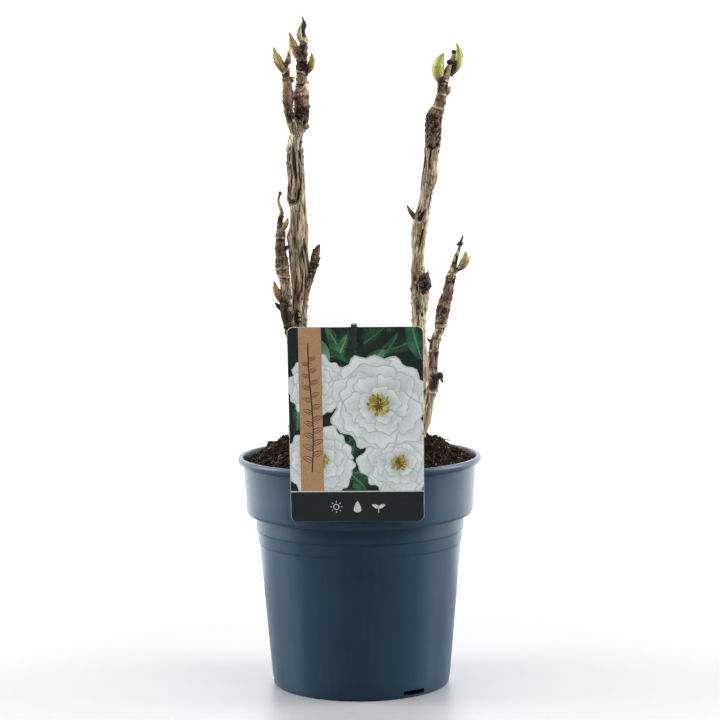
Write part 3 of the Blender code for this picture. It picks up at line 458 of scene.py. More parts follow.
# Dormant buds on the back of a limb
SCAR_R = 1.5
SCAR_RISE = 2.6
SCAR_PROUD = (1.0, 1.7)
GOLDEN_ANGLE = math.radians(137.5)
SEED = 11

# Fineness of the limbs' skins
STEM_STEP = 0.45
TWIG_STEP = 0.36
FLAKE_ROOM = 3.4
GRAIN_SWAY = 0.35
SWAY_RUN = 26.0
# The least radius of a skin, and a height above the whole plant
THINNEST = 0.15
ABOVE_ALL = 500.0

# The name of the meshes' tones, and some tones: (dark, young, pale, green)
TONES = "tones"
NO_TONES = (0.0, 0.0, 0.0, 0.0)
WITHERED = (0.7, 0.5, 0.0, 0.0)
DARK_CORE = (0.9, 0.6, 0.0, 0.0)

# A bud's colours from foot to tip: (place, red, green, blue)
BROWN_BUD = (
    (0.0, 58, 44, 38), (0.22, 92, 66, 50), (0.5, 142, 104, 82), (0.8, 150, 124, 86), (1.0, 80, 60, 48),
)
GREEN_BUD = (
    (0.0, 56, 44, 36), (0.12, 106, 80, 56), (0.27, 162, 148, 86), (0.52, 176, 180, 100),
    (0.88, 158, 170, 90), (1.0, 84, 74, 50),
)


# Small tools

def unit(vectors):
    """Vectors scaled to length one, along the last axis."""
    return vectors / np.linalg.norm(vectors, axis=-1, keepdims=True)


def ease(low, high, values):
    """0 below low, 1 above high, and smooth between them."""
    share = np.clip((values - low) / (high - low), 0.0, 1.0)
    return share * share * (3.0 - 2.0 * share)


def lattice(cells, seed):
    """A repeatable number from -1 to 1 for each whole-numbered cell."""
    x, y, z = (cells[..., i].astype(np.uint32) for i in range(3))
    mixed = x * np.uint32(0x8DA6B343) ^ y * np.uint32(0xD8163841) ^ z * np.uint32(0xCB1AB31F)
    mixed ^= np.uint32(seed * 2654435761 % 2**32)
    mixed ^= mixed >> np.uint32(13)
    mixed *= np.uint32(0x5BD1E995)
    mixed ^= mixed >> np.uint32(15)
    return mixed / 2147483647.5 - 1.0


def noise(points, seed):
    """Smooth noise from -1 to 1, for an array whose last axis holds x, y and z."""
    base = np.floor(points)
    part = points - base
    weight = part * part * (3.0 - 2.0 * part)
    cells = base.astype(np.int64)
    total = np.zeros(points.shape[:-1])
    for corner in itertools.product((0, 1), repeat=3):
        share = np.prod(np.where(corner, weight, 1.0 - weight), axis=-1)
        total += share * lattice(cells + corner, seed)
    return total


def at(*columns):
    """Arrays that broadcast together, stacked into points."""
    return np.stack(np.broadcast_arrays(*columns), -1)


def ring_angles(count):
    """Angles evenly spaced round a ring."""
    return np.linspace(0.0, 2.0 * math.pi, count, endpoint=False)


def sheet_grid(rows, columns, start=0.0):
    """How far up, from start to 1, and across, from -1 to 1, the points of a sheet are."""
    return np.linspace(start, 1.0, rows)[:, None], np.linspace(-1.0, 1.0, columns)


def linear(red, green, blue):
    """A display colour from 0 to 255, as the linear colour that a shader takes."""
    values = []
    for value in (red, green, blue):
        value /= 255.0
        values.append(value / 12.92 if value <= 0.04045 else ((value + 0.055) / 1.055) ** 2.4)
    return (*values, 1.0)


# Meshes

def placed(name, data):
    """A new object in the scene."""
    item = bpy.data.objects.new(name, data)
    bpy.context.scene.collection.objects.link(item)
    return item


class Heap:
    """Points, faces, tones and material picks gathered into one mesh."""

    def __init__(self):
        self.points = []
        self.faces = []
        self.tones = []
        self.picks = []
        self.count = 0

    def add(self, points, faces, tones=NO_TONES, pick=0):
        points = np.asarray(points, float).reshape(-1, 3)
        self.points.append(points)
        self.tones.append(np.broadcast_to(np.asarray(tones, float), (len(points), 4)))
        self.faces.extend([[index + self.count for index in face] for face in faces])
        self.picks.extend([pick] * len(faces))
        self.count += len(points)

    def mesh(self, name, materials):
        made = bpy.data.meshes.new(name)
        made.from_pydata((np.concatenate(self.points) * MM).tolist(), [], self.faces)
        for material in materials:
            made.materials.append(material)
        return made

    def piece(self, name, materials, slot, *nodes, smooth=True):
        """The heap as a piece that rides on the part and stands for the nodes."""
        mesh = self.mesh(name, materials)
        mesh.polygons.foreach_set("material_index", self.picks)
        mesh.polygons.foreach_set("use_smooth", [smooth] * len(self.faces))
        layer = mesh.color_attributes.new(TONES, "FLOAT_COLOR", "POINT")
        layer.data.foreach_set("color", np.concatenate(self.tones).astype(np.float32).ravel())
        mesh.update()
        item = placed(name, mesh)
        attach(item, BODY)
        if nodes:
            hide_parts(*nodes)
        return item


def grid_faces(rows, columns, wrap=True):
    """Quads of a grid of points, row by row; wrap joins its last column to its first."""
    last = columns if wrap else columns - 1
    row, column = np.meshgrid(np.arange(rows - 1), np.arange(last), indexing="ij")
    after = (column + 1) % columns
    low = row * columns
    high = low + columns
    return np.stack((low + column, low + after, high + after, high + column), -1).reshape(-1, 4).tolist()


def closed_faces(rows, columns):
    """A wrapped grid's quads, with a fan to the pole point after it at the foot and one at the tip."""
    faces = grid_faces(rows, columns)
    foot = rows * columns
    last = (rows - 1) * columns
    for column in range(columns):
        after = (column + 1) % columns
        faces.append([after, column, foot])
        faces.append([last + column, last + after, foot + 1])
    return faces


def add_closed(heap, rings, tones=NO_TONES, pick=0):
    """Rings of points (rows, columns, xyz) as one closed skin."""
    rows, columns = rings.shape[:2]
    poles = [rings[0].mean(0), rings[-1].mean(0)]
    points = np.concatenate((rings.reshape(-1, 3), poles))
    tones = np.broadcast_to(np.asarray(tones, float), (rows, columns, 4))
    ends = [tones[0].mean(0), tones[-1].mean(0)]
    heap.add(points, closed_faces(rows, columns), np.concatenate((tones.reshape(-1, 4), ends)), pick)


def add_sheet(heap, top, under, tones):
    """A thin closed sheet between two grids of points of the same shape."""
    rows, columns = top.shape[:2]
    size = rows * columns
    upper = grid_faces(rows, columns, wrap=False)
    faces = upper + [[index + size for index in reversed(face)] for face in upper]
    rim = list(range(columns))
    rim += [row * columns + columns - 1 for row in range(1, rows)]
    rim += [(rows - 1) * columns + column for column in range(columns - 2, -1, -1)]
    rim += [row * columns for row in range(rows - 2, 0, -1)]
    for first, second in zip(rim, rim[1:] + rim[:1]):
        faces.append([second, first, first + size, second + size])
    tones = np.broadcast_to(np.asarray(tones, float), (rows, columns, 4)).reshape(-1, 4)
    points = np.concatenate((top.reshape(-1, 3), under.reshape(-1, 3)))
    heap.add(points, faces, np.concatenate((tones, tones)))


# Lines that limbs follow

def smooth_route(stations, step, first=0, last=None):
    """Rows of x, y, z and radius every step or so on the source's smooth curve through the stations."""
    knots = np.array(stations, float)
    spans = np.linalg.norm(np.diff(knots[:, :3], axis=0), axis=1)
    slopes = []
    for i in range(len(knots)):
        before = max(i - 1, 0)
        after = min(i + 1, len(knots) - 1)
        slopes.append((knots[after] - knots[before]) / spans[before:after].sum())
    last = len(spans) if last is None else last
    rows = []
    for i in range(first, last):
        count = max(1, round(spans[i] / step))
        t = (np.arange(count) / count)[:, None]
        h1 = 1.0 + t * t * (2.0 * t - 3.0)
        h2 = t * t * (3.0 - 2.0 * t)
        h3 = t * (1.0 - t) ** 2 * spans[i]
        h4 = t * t * (t - 1.0) * spans[i]
        rows.append(knots[i] * h1 + knots[i + 1] * h2 + slopes[i] * h3 + slopes[i + 1] * h4)
    rows.append(knots[last][None])
    return np.concatenate(rows)


def domed(route, steps=4):
    """The route with a rounded end past its tip."""
    ahead = unit(route[-1, :3] - route[-2, :3])
    radius = route[-1, 3]
    extra = []
    for k in range(1, steps + 1):
        turn = math.radians(84.0 * k / steps)
        extra.append((*(route[-1, :3] + ahead * radius * 0.6 * math.sin(turn)), radius * math.cos(turn)))
    return np.concatenate((route, extra))


class Line:
    """A centre line with its radius, and each row's directions: along, side (near +X), depth (near +Y)."""

    def __init__(self, route):
        self.centre = route[:, :3]
        self.radius = route[:, 3]
        steps = np.linalg.norm(np.diff(self.centre, axis=0), axis=1)
        self.run = np.concatenate(([0.0], np.cumsum(steps)))
        self.along = unit(np.gradient(self.centre, axis=0))
        self.side = unit(np.cross((0.0, 1.0, 0.0), self.along))
        self.depth = np.cross(self.along, self.side)

    def route(self):
        return np.column_stack((self.centre, self.radius))

    def rings(self, angles, radius):
        """Points at the angles round each row, radius away from the line."""
        angles = np.broadcast_to(angles, radius.shape)[..., None]
        spokes = np.cos(angles) * self.side[:, None] + np.sin(angles) * self.depth[:, None]
        return self.centre[:, None] + radius[..., None] * spokes

    def sampled(self, places, measure):
        """The line at the places, which count along the measure of its rows."""
        columns = (*self.centre.T, self.radius)
        return Line(np.column_stack([np.interp(places, measure, column) for column in columns]))

    def between(self, low, high, count):
        """The part of the line between two heights."""
        return self.sampled(np.linspace(low, high, count), self.centre[:, 2])


def bowed(foot, tip, radius, bow, profile, count):
    """A line from foot to tip, bowed sideways, whose radius follows the profile smoothly."""
    start = np.array(foot)
    run = np.array(tip) - start
    side = unit(np.array((-run[2], 0.0, run[0])))
    share = np.linspace(0.0, 1.0, count)
    knots = np.array(profile, float)
    width = np.interp(share, knots[:, 0], knots[:, 1])
    width[1:-1] = (width[:-2] + 2.0 * width[1:-1] + width[2:]) / 4.0
    centre = start + share[:, None] * run + (bow * 4.0 * share * (1.0 - share))[:, None] * side
    return Line(np.column_stack((centre, radius * width)))


# Bark

def even_zones(*levels):
    """Zones of bark that is the same from foot to tip: young, grooved, flaky and stained."""
    return ((0.0, *levels), (ABOVE_ALL, *levels))


def bark(line, angles, seed, zones, rings=(), marks=(), scars=()):
    """Extra radius and tones (dark, young, pale, green) of bark over a limb, rows by angles."""
    height = line.centre[:, 2:3]
    run = line.run[:, None]
    radius = line.radius[:, None]
    levels = np.array(zones, float).T
    young, groove, flake, stain = (np.interp(height, levels[0], level) for level in levels[1:])
    turn = angles + GRAIN_SWAY * noise(at(run / SWAY_RUN, 0.5, 0.5), seed)

    def grain(width, length, shift):
        """Noise whose patches are so wide round the limb and so long up it, in millimetres."""
        girth = radius / width
        places = at(np.cos(turn) * girth, np.sin(turn) * girth, run / length)
        return noise(places + shift * 17.3, seed + shift)

    def seam(pattern, width):
        """1 on the lines where a pattern changes sign, and 0 beside them."""
        return 1.0 - ease(0.0, width, np.abs(pattern))

    flutes = grain(5.5, 60.0, 1)
    furrow = seam(grain(2.7, 34.0, 2), 0.15)
    cleft = seam(grain(1.5, 19.0, 3), 0.1)
    split = seam(grain(1.0, 12.0, 12), 0.1)
    fibres = grain(0.8, 8.0, 4)
    threads = grain(0.45, 4.5, 5)
    plates = grain(3.0, 3.6, 6)
    crack = seam(plates, 0.15)
    flecks = grain(1.1, 1.2, 7)
    wrinkles = grain(4.0, 0.8, 8)
    cloud = grain(6.0, 9.0, 9) + 0.5 * grain(2.4, 3.2, 10)
    weather = ease(0.05, 0.5, grain(2.2, 12.0, 11))

    extra = 0.18 + 0.45 * flutes - 0.6 * furrow - 0.3 * cleft - 0.15 * split + 0.13 * fibres + 0.07 * threads
    extra = groove * extra + 0.08 * young * wrinkles
    extra = extra + flake * (0.15 + 0.4 * np.maximum(plates, 0.0) - 0.4 * crack + 0.16 * flecks)
    # Furrows, clefts, splits, sunk fibres and threads, and the cracks between flakes are darkened: partly the
    # bark's own dark fissures, partly painted shade in these grooves.
    dark = 0.6 * furrow + 0.7 * cleft + 0.55 * split + 0.1 * weather
    dark = groove * (dark + 0.5 * np.maximum(-fibres, 0.0) + 0.4 * np.maximum(-threads, 0.0))
    dark = dark * (1.0 - 0.5 * young) + flake * (0.7 * crack + 0.4 * np.maximum(-flecks, 0.0))
    dark = dark + 1.25 * stain * ease(-0.35, 0.35, cloud + 0.3 * flecks + 0.9 * (stain - 0.5))
    # Raised flutes, fibres, threads and flecks are paled: partly pale weathered ridges, partly painted
    # highlight on them.
    pale = 0.5 * np.maximum(flutes, 0.0) + 0.95 * np.maximum(fibres, 0.0) + 0.5 * np.maximum(threads, 0.0)
    pale = groove * pale * (1.0 - 0.6 * young) + 0.5 * flake * ease(0.35, 0.6, flecks)
    green = np.zeros_like(dark)
    for z, lift, half, tilt, toward in rings:
        centre = z + tilt * np.cos(angles - math.radians(toward)) * radius
        centre = centre + 0.5 * noise(at(angles * 1.9, z, 0.0), seed)
        worn = 0.3 + 0.7 * ease(-0.45, 0.25, noise(at(angles * 2.3, z, 5.0), seed))
        band = worn * np.exp(-(((height - centre) / half) ** 2))
        # Under each raised ring the bark is sunk and painted dark: a painted shadow under the ring.
        under = np.exp(-(((height - centre + 1.7 * half) / (0.7 * half)) ** 2))
        extra = extra + lift * band - 0.25 * lift * under
        pale = np.maximum(pale, 0.85 * band)
        dark = dark * (1.0 - band) + 0.8 * under

    def away(z, toward, wide, high, slant):
        """Distance from a mark's middle in half widths and heights, and the height over it."""
        across = (angles - math.radians(toward) + math.pi) % (2.0 * math.pi) - math.pi
        across = across * radius + 0.35 * fibres
        up = height - z
        cosine = math.cos(math.radians(slant))
        sine = math.sin(math.radians(slant))
        rise = (up * cosine - across * sine) / high
        return np.hypot((across * cosine + up * sine) / wide, rise), rise

    # A mark's dark is a stain on flat bark, and where the mark is sunk it is partly painted shade in the
    # hollow.
    for *place, sink, shadow, moss in marks:
        far, _ = away(*place)
        spot = np.exp(-(far**5))
        lip = np.exp(-(((far - 1.35) / 0.3) ** 2))
        extra = extra - sink * spot + 0.3 * abs(sink) * lip
        dark = np.maximum(dark * (1.0 - 0.5 * lip), 1.5 * shadow * spot)
        green = np.maximum(green, moss * spot)
    # A branch scar gets painted shade: its rim is darkest at the lower side and its middle is darkened, and
    # the lip round it is painted lighter as a highlight.
    for place in scars:
        far, rise = away(*place)
        far = far + 0.1 * flecks + 0.12 * plates
        lower = 0.1 + 0.9 * ease(-0.95, -0.1, -rise)
        rim = np.exp(-(((far - 0.95) / 0.3) ** 2)) * lower
        lip = np.exp(-(((far - 1.4) / 0.18) ** 2)) * lower
        extra = extra - 1.3 * rim + 0.4 * lip + 0.35 * np.exp(-((far / 0.6) ** 4))
        dark = np.maximum(dark * (1.0 - 0.4 * lip), 1.2 * rim)
        dark = np.maximum(dark, 0.45 * np.exp(-(far**4)))
    return extra, at(np.clip(dark, 0.0, 1.0), young, np.clip(pale, 0.0, 1.0), green)


def add_flakes(heap, line, seed, zones):
    """Small raised scales of bark, thickest where the bark is flaky."""
    chance = random.Random(seed)
    levels = np.array(zones, float).T
    area = 2.0 * math.pi * line.radius.mean() * line.run[-1]
    up, across = sheet_grid(6, 5)
    for _ in range(round(area / FLAKE_ROOM)):
        place = chance.uniform(0.0, line.run[-1] - 4.2)
        turn = chance.uniform(0.0, 2.0 * math.pi)
        height = np.interp(place, line.run, line.centre[:, 2])
        _, young, _, flaky, stain = (np.interp(height, levels[0], level) for level in levels)
        if chance.random() > flaky:
            continue
        long = chance.uniform(1.0, 3.2)
        wide = chance.uniform(0.9, 2.6)
        part = line.sampled(np.linspace(place, place + long, 6), line.run)
        radius = part.radius[:, None]
        spread = wide / 2.0 / radius * np.sqrt(1.0 - 0.75 * up**3)
        lift = np.minimum(radius * 0.1, 0.35) + chance.uniform(0.15, 0.75) * up**1.3
        radius = radius + lift + 0.1 * noise(at(across * 1.3, up * 2.0, place * 3.1), seed)
        angles = turn + across * spread + chance.uniform(-0.25, 0.25) * up
        dark = min(max(0.8 * stain + chance.uniform(-0.35, 0.45), 0.0), 1.0)
        edge = 0.7 * up**4 * chance.random() ** 2
        tones = at(dark * (1.0 - edge), young, edge, 0.0)
        add_sheet(heap, part.rings(angles, radius), part.rings(angles, radius - 0.4), tones)


def add_limb(heap, route, sides, seed, zones, rings=(), marks=(), scars=()):
    """A limb with its bark's relief and flakes, as closed skins."""
    line = Line(route)
    angles = ring_angles(sides)
    extra, tones = bark(line, angles, seed, zones, rings, marks, scars)
    radius = line.radius[:, None] + np.minimum(line.radius[:, None] / 3.0, 1.0) * extra
    add_closed(heap, line.rings(angles, np.maximum(radius, THINNEST)), tones)
    add_flakes(heap, line, seed, zones)
    return line


def add_strip(heap, line, angle, low, high, width, lift, seed, loose_top=True):
    """A strip of loose bark: held at one end, standing off the stem at the other."""
    rows = max(8, round((high - low) / 0.8))
    part = line.between(low, high, rows)
    share, across = sheet_grid(rows, 6)
    free = share if loose_top else 1.0 - share
    sway = noise(at(share * 3.0, seed * 1.7, 0.0), seed)
    half = width / 2.0 * (0.35 + 0.65 * np.sin(math.pi * np.clip(share * 0.8 + 0.15, 0.0, 1.0)))
    angles = math.radians(angle) + (across * half + 0.5 * sway) / part.radius[:, None]
    bumps = noise(at(across * 1.6, share * (high - low) / 5.0, seed), seed + 3)
    radius = part.radius[:, None] + 0.1 + lift * free * (free**0.6 + 0.25 * across**2) + 0.12 * bumps
    # Painted shade: the strip is darker along both its edges and in its dips.
    dark = np.clip(0.25 - 0.5 * bumps + 0.4 * np.abs(across) ** 4, 0.0, 1.0)
    tones = at(dark, 0.12, 0.3, 0.0)
    add_sheet(heap, part.rings(angles, radius), part.rings(angles, radius - 0.45), tones)


def add_strips(heap, line, count, first, step, length, turn, width, lift, seed):
    """Strips up a stem, each turned on from the last and loose at its other end."""
    for k in range(count):
        low = first + step * k
        angle = (137 * k + turn) % 360
        add_strip(heap, line, angle, low, low + length, width, lift, seed + k, k % 2 == 1)


def add_cuff(heap, line, low, high, first, last, lift, young, seed, fall=0.0):
    """A broken collar of bark with a ragged upper edge, which falls away towards its first end."""
    rows = 14
    columns = max(8, round(abs(last - first) / 5))
    part = line.between(low, high, rows)
    share, across = sheet_grid(rows, columns)
    angles = np.radians(np.linspace(first, last, columns))
    ragged = 1.0 + 0.22 * noise(at(angles * 2.6, seed, 0.0), seed)
    ragged = ragged + 0.1 * noise(at(angles * 9.0, seed, 0.0), seed)
    drop = fall * np.maximum(-across, 0.0) ** 1.4
    heights = low + ((high - low) * np.clip(ragged, 0.3, 1.3) - drop) * share
    radius = part.radius[:, None] + 0.15 + lift * share**1.5
    radius = radius + 0.15 * noise(at(angles * 5.0, share * 3.0, seed), seed)
    top = part.rings(angles, radius)
    under = part.rings(angles, radius - 0.5)
    top[..., 2] = heights
    under[..., 2] = heights - 0.15
    dark = np.clip(0.8 - 3.5 * share, 0.0, 1.0)
    add_sheet(heap, top, under, at(dark, young, ease(0.8, 0.95, share), 0.0))


# Buds and dried parts

def add_bud(heap, spec, profile, seed, green, scales, blush=1.0):
    """A winter bud: a pointed core in overlapping scales.

    green runs from 0, brown, to 1, and blush reddens the scales.
    """
    line = bowed(*spec, profile, 36)
    chance = random.Random(seed)
    share = line.run / line.run[-1]
    angles = ring_angles(24)
    ribs = 0.03 * np.cos(angles * 7.0 + seed)
    tones = at(share[:, None], chance.uniform(0.3, 0.7), 0.25 + ribs * 3.0, green)
    add_closed(heap, line.rings(angles, line.radius[:, None] * (0.93 + ribs)), tones)
    turn = chance.uniform(0.0, 2.0 * math.pi)
    rows = 20
    up, across = sheet_grid(rows, 11)
    spread = math.radians(100.0) * np.sqrt(np.clip(1.0 - up**2.4, 0.0, 1.0)) + 0.02
    edge = np.maximum(np.abs(across) ** 6, up**8)
    for k in range(scales):
        reach = 0.42 + 0.5 * (k + 1) / scales + chance.uniform(-0.04, 0.04)
        outer = (scales - 1 - k) / (scales - 1)
        turn += math.pi + math.radians(chance.uniform(-28.0, 28.0))
        part = line.sampled(np.linspace(0.0, reach, rows), share)
        lift = 0.05 + 0.10 * outer + 0.22 * up**4 * (0.4 + outer) + 0.05 * (1.0 - across**2)
        girth = part.radius[:, None] * (1.0 + 0.03 * outer) + lift
        angles = turn + across * spread
        tones = at(up * reach, blush * chance.uniform(0.0, 1.0), edge, green)
        add_sheet(heap, part.rings(angles, girth), part.rings(angles, girth - 0.14), tones)


def add_buds(heap, specs, profile, seed, greens, scales, blush=1.0):
    """A bud for each spec and its green."""
    for i, (spec, green) in enumerate(zip(specs, greens)):
        add_bud(heap, spec, profile, seed + i, green, scales, blush)


def add_claw(heap, line, seed, flat=0.6, tones=WITHERED):
    """A dried, curled tip, flatter than it is wide."""
    angles = ring_angles(16)
    folds = noise(at(np.cos(angles) * 2.2, np.sin(angles) * 2.2, line.run[:, None] / 2.2), seed)
    rings = line.rings(angles, line.radius[:, None] * (1.0 + 0.28 * folds))
    rings = line.centre[:, None] + (rings - line.centre[:, None]) * (1.0, flat, 1.0)
    # Painted shade and highlight: the tone is darker in the sunk folds and lighter on the raised ones.
    add_closed(heap, rings, at(np.clip(tones[0] - 0.7 * folds, 0.0, 1.0), *tones[1:]))


def add_claws(heap, specs, profile, rows, seed, *look):
    """A claw for each spec. look holds its flatness and tones."""
    for i, spec in enumerate(specs):
        add_claw(heap, bowed(*spec, profile, rows), seed + i, *look)


def add_sliver(heap, stations, seed, stain):
    """A splinter of bark that stands off the stem."""
    line = Line(domed(smooth_route(stations, TWIG_STEP)))
    angles = ring_angles(28)
    extra, tones = bark(line, angles, seed, even_zones(0.0, 1.0, 0.0, stain))
    radius = np.maximum(line.radius[:, None] * (1.0 + 0.35 * extra), THINNEST)
    add_closed(heap, line.rings(angles, radius), tones)


def add_cup(heap, spec, seed):
    """A broken stub: a hollow stalk with a ragged pale rim round a dark core."""
    line = bowed(*spec, STUB_PROFILE, 20)
    deep = 12
    share = line.run / line.run[-1]
    angles = ring_angles(24)
    folds = noise(at(np.cos(angles) * 2.0, np.sin(angles) * 2.0, line.run[:, None] / 3.0), seed + 1)
    outside = line.rings(angles, line.radius[:, None] * 1.02 * (1.0 + 0.08 * folds))
    wave = 0.5 * noise(at(np.cos(angles) * 1.6, np.sin(angles) * 1.6, 0.0), seed)
    slant = line.along[-1] * wave[:, None] * spec[2]
    outside = outside + slant * ease(0.75, 1.0, share)[:, None, None]
    middle = line.centre[::-1][:deep, None]
    inside = middle + (outside[::-1][:deep] - middle) * 0.7
    tint = np.concatenate((ease(0.2, 0.55, share), np.full(deep, 0.3)))[:, None]
    dark = np.concatenate((np.clip(0.7 - share, 0.0, 1.0), np.full(deep, 0.6)))[:, None]
    add_closed(heap, np.concatenate((outside, inside)), at(dark, 0.7 * (1.0 - tint), tint, 0.0))
    plug = Line(line.route()[9:18] * (1.0, 1.0, 1.0, 0.62))
    lump = plug.radius[:, None] * (1.0 + 0.2 * noise(at(angles * 2.0, plug.run[:, None], seed), seed))
    add_closed(heap, plug.rings(angles, lump), DARK_CORE)


def add_ball(heap, centre, radius, squash, seed, tones, rough=0.25):
    """A lumpy ball."""
    turns = np.linspace(0.1, math.pi - 0.1, 20)[:, None]
    angles = ring_angles(30)
    ways = at(np.sin(turns) * np.cos(angles), np.sin(turns) * np.sin(angles), -np.cos(turns))
    lumps = noise(ways * 2.3 + seed, seed) + 0.5 * noise(ways * 5.0 + seed, seed + 1)
    size = radius * (1.0 + rough * lumps)
    add_closed(heap, np.array(centre) + size[..., None] * ways * squash, tones)


def add_scars(heap, stations, first, last, count, seed):
    """The source's dormant buds up the back of a limb."""
    chance = random.Random(seed)
    route = smooth_route(stations, 1.0)
    turn = chance.uniform(0.0, 2.0 * math.pi)
    for i in range(count):
        share = first + (last - first) * (i + chance.uniform(0.2, 0.8)) / count
        x, y, z, radius = route[round(share * (len(route) - 1))]
        turn += GOLDEN_ANGLE
        back = math.pi * (0.12 + 0.76 * (turn / math.pi % 1.0))
        out = np.array((math.cos(back), math.sin(back), 0.0))
        foot = np.array((x, y, z)) + out * radius * 0.55
        tip = np.array((x, y, z)) + out * (radius + chance.uniform(*SCAR_PROUD)) + (0.0, 0.0, SCAR_RISE)
        add_bud(heap, (foot, tip, SCAR_R, 0.0), PLUMP_PROFILE, seed + i, 0.1, 3)


# Materials

class Shade:
    """A material's node tree, with short ways to add nodes. Its colours are display colours, 0 to 255."""

    def __init__(self, name, roughness, gloss=0.5):
        self.material = bpy.data.materials.new(name)
        self.material.use_nodes = True
        self.tree = self.material.node_tree
        self.set("Roughness", roughness)
        self.set("Specular IOR Level", gloss)

    def set(self, name, value):
        self.feed(self.tree.nodes["Principled BSDF"].inputs[name], value)

    def feed(self, socket, value):
        if isinstance(value, bpy.types.NodeSocket):
            self.tree.links.new(value, socket)
        else:
            socket.default_value = value

    def node(self, kind, inputs, **settings):
        made = self.tree.nodes.new(kind)
        for name, value in settings.items():
            setattr(made, name, value)
        for key, value in inputs.items():
            self.feed(made.inputs[key], value)
        return made

    def noise(self, fineness, detail=3.0):
        """Noise over the object, with so many waves in a millimetre along each axis."""
        where = self.node("ShaderNodeTexCoord", {}).outputs["Object"]
        scale = tuple(value / MM for value in fineness)
        where = self.node("ShaderNodeMapping", {"Vector": where, "Scale": scale}).outputs["Vector"]
        made = self.node("ShaderNodeTexNoise", {"Vector": where, "Scale": 1.0, "Detail": detail})
        return made.outputs["Fac"]

    def gradient(self, value, stops):
        """Linear colours along the value, from stops of a position and a colour."""
        made = self.node("ShaderNodeValToRGB", {"Fac": value})
        colours = made.color_ramp.elements
        while len(colours) < len(stops):
            colours.new(0.5)
        for element, (position, colour) in zip(colours, stops):
            element.position = position
            element.color = colour
        return made.outputs["Color"]

    def ramp(self, value, *stops):
        """Colours along the value, from stops of a position, red, green and blue."""
        return self.gradient(value, [(position, linear(*colour)) for position, *colour in stops])

    def mask(self, value, low, high, foot=0.0, top=1.0):
        """A share that runs from foot, where the value is low, to top, where it is high."""
        return self.gradient(value, [(low, (foot, foot, foot, 1.0)), (high, (top, top, top, 1.0))])

    def mix(self, share, first, second):
        """The first colour with a share of the second, which may be a display colour."""
        made = self.node("ShaderNodeMix", {}, data_type="RGBA")
        second = linear(*second) if isinstance(second, tuple) else second
        for key, value in ((0, share), (6, first), (7, second)):
            self.feed(made.inputs[key], value)
        return made.outputs[2]

    def sum(self, first, second):
        return self.node("ShaderNodeMath", {0: first, 1: second}, operation="ADD").outputs["Value"]

    def span(self, value, low, high):
        """A value from 0 to 1 spread from low to high."""
        made = self.node("ShaderNodeMapRange", {"Value": value, "To Min": low, "To Max": high})
        return made.outputs["Result"]

    def tones(self):
        """The mesh's tones: three channels and the fourth."""
        made = self.node("ShaderNodeAttribute", {}, attribute_name=TONES)
        parts = self.node("ShaderNodeSeparateColor", {"Color": made.outputs["Color"]})
        return (*parts.outputs, made.outputs["Alpha"])

    def finish(self, colour, height, depth, roughness=None):
        """Joins the colour, a bump of that depth in millimetres, and the roughness."""
        bump = self.node("ShaderNodeBump", {"Height": height, "Distance": depth * MM, "Strength": 1.0})
        self.set("Base Color", colour)
        self.set("Normal", bump.outputs["Normal"])
        if roughness is not None:
            self.set("Roughness", roughness)
        return self.material


def bark_material():
    shade = Shade("bark", 0.85)
    fibre = shade.noise((1.2, 1.2, 0.12), 5.0)
    cloud = shade.noise((0.12, 0.12, 0.05))
    speck = shade.noise((1.1, 1.1, 0.9), 4.0)
    thread = shade.noise((2.3, 2.3, 0.16), 2.0)
    dark, young, pale, green = shade.tones()
    old = shade.ramp(fibre, (0.38, 108, 94, 72), (0.47, 184, 170, 143), (0.57, 232, 221, 198))
    warm = shade.ramp(fibre, (0.36, 112, 88, 66), (0.48, 170, 146, 116), (0.6, 204, 184, 154))
    old = shade.mix(shade.mask(cloud, 0.42, 0.62), old, warm)
    old = shade.mix(shade.mask(thread, 0.38, 0.49, 0.65, 0.0), old, (84, 62, 44))
    fresh = shade.ramp(speck, (0.34, 66, 49, 38), (0.48, 112, 87, 66), (0.62, 156, 127, 98))
    colour = shade.mix(young, old, fresh)
    colour = shade.mix(shade.span(pale, 0.0, 0.85), colour, (224, 208, 180))
    colour = shade.mix(shade.span(green, 0.0, 0.7), colour, (176, 178, 118))
    colour = shade.mix(shade.span(dark, 0.0, 0.95), colour, (29, 24, 21))
    return shade.finish(colour, shade.sum(fibre, speck), 0.22, shade.span(speck, 0.75, 0.95))


def bud_material():
    shade = Shade("bud_scale", 0.45)
    along, tint, edge, green = shade.tones()
    ribs = shade.noise((1.7, 1.7, 0.25))
    brown = shade.ramp(along, *BROWN_BUD)
    leafy = shade.ramp(along, *GREEN_BUD)
    colour = shade.mix(green, brown, leafy)
    colour = shade.mix(shade.mask(tint, 0.45, 0.95, 0.0, 0.3), colour, (164, 112, 84))
    colour = shade.mix(shade.mask(ribs, 0.4, 0.62, 0.0, 0.3), colour, (198, 186, 122))
    colour = shade.mix(shade.span(edge, 0.0, 0.55), colour, (112, 78, 54))
    shade.set("Subsurface Weight", 0.12)
    shade.set("Subsurface Scale", 0.001)
    return shade.finish(colour, ribs, 0.12, shade.span(ribs, 0.36, 0.58))


def mottled(name, first, second, fineness, depth, roughness, gloss=0.5):
    """A plain colour with a second one clouded through it, and a fine bump."""
    shade = Shade(name, roughness, gloss)
    cloud = shade.noise((fineness,) * 3, 4.0)
    colour = shade.ramp(cloud, (0.36, *first), (0.64, *second))
    return shade.finish(colour, cloud, depth, shade.span(cloud, roughness - 0.06, roughness + 0.06))


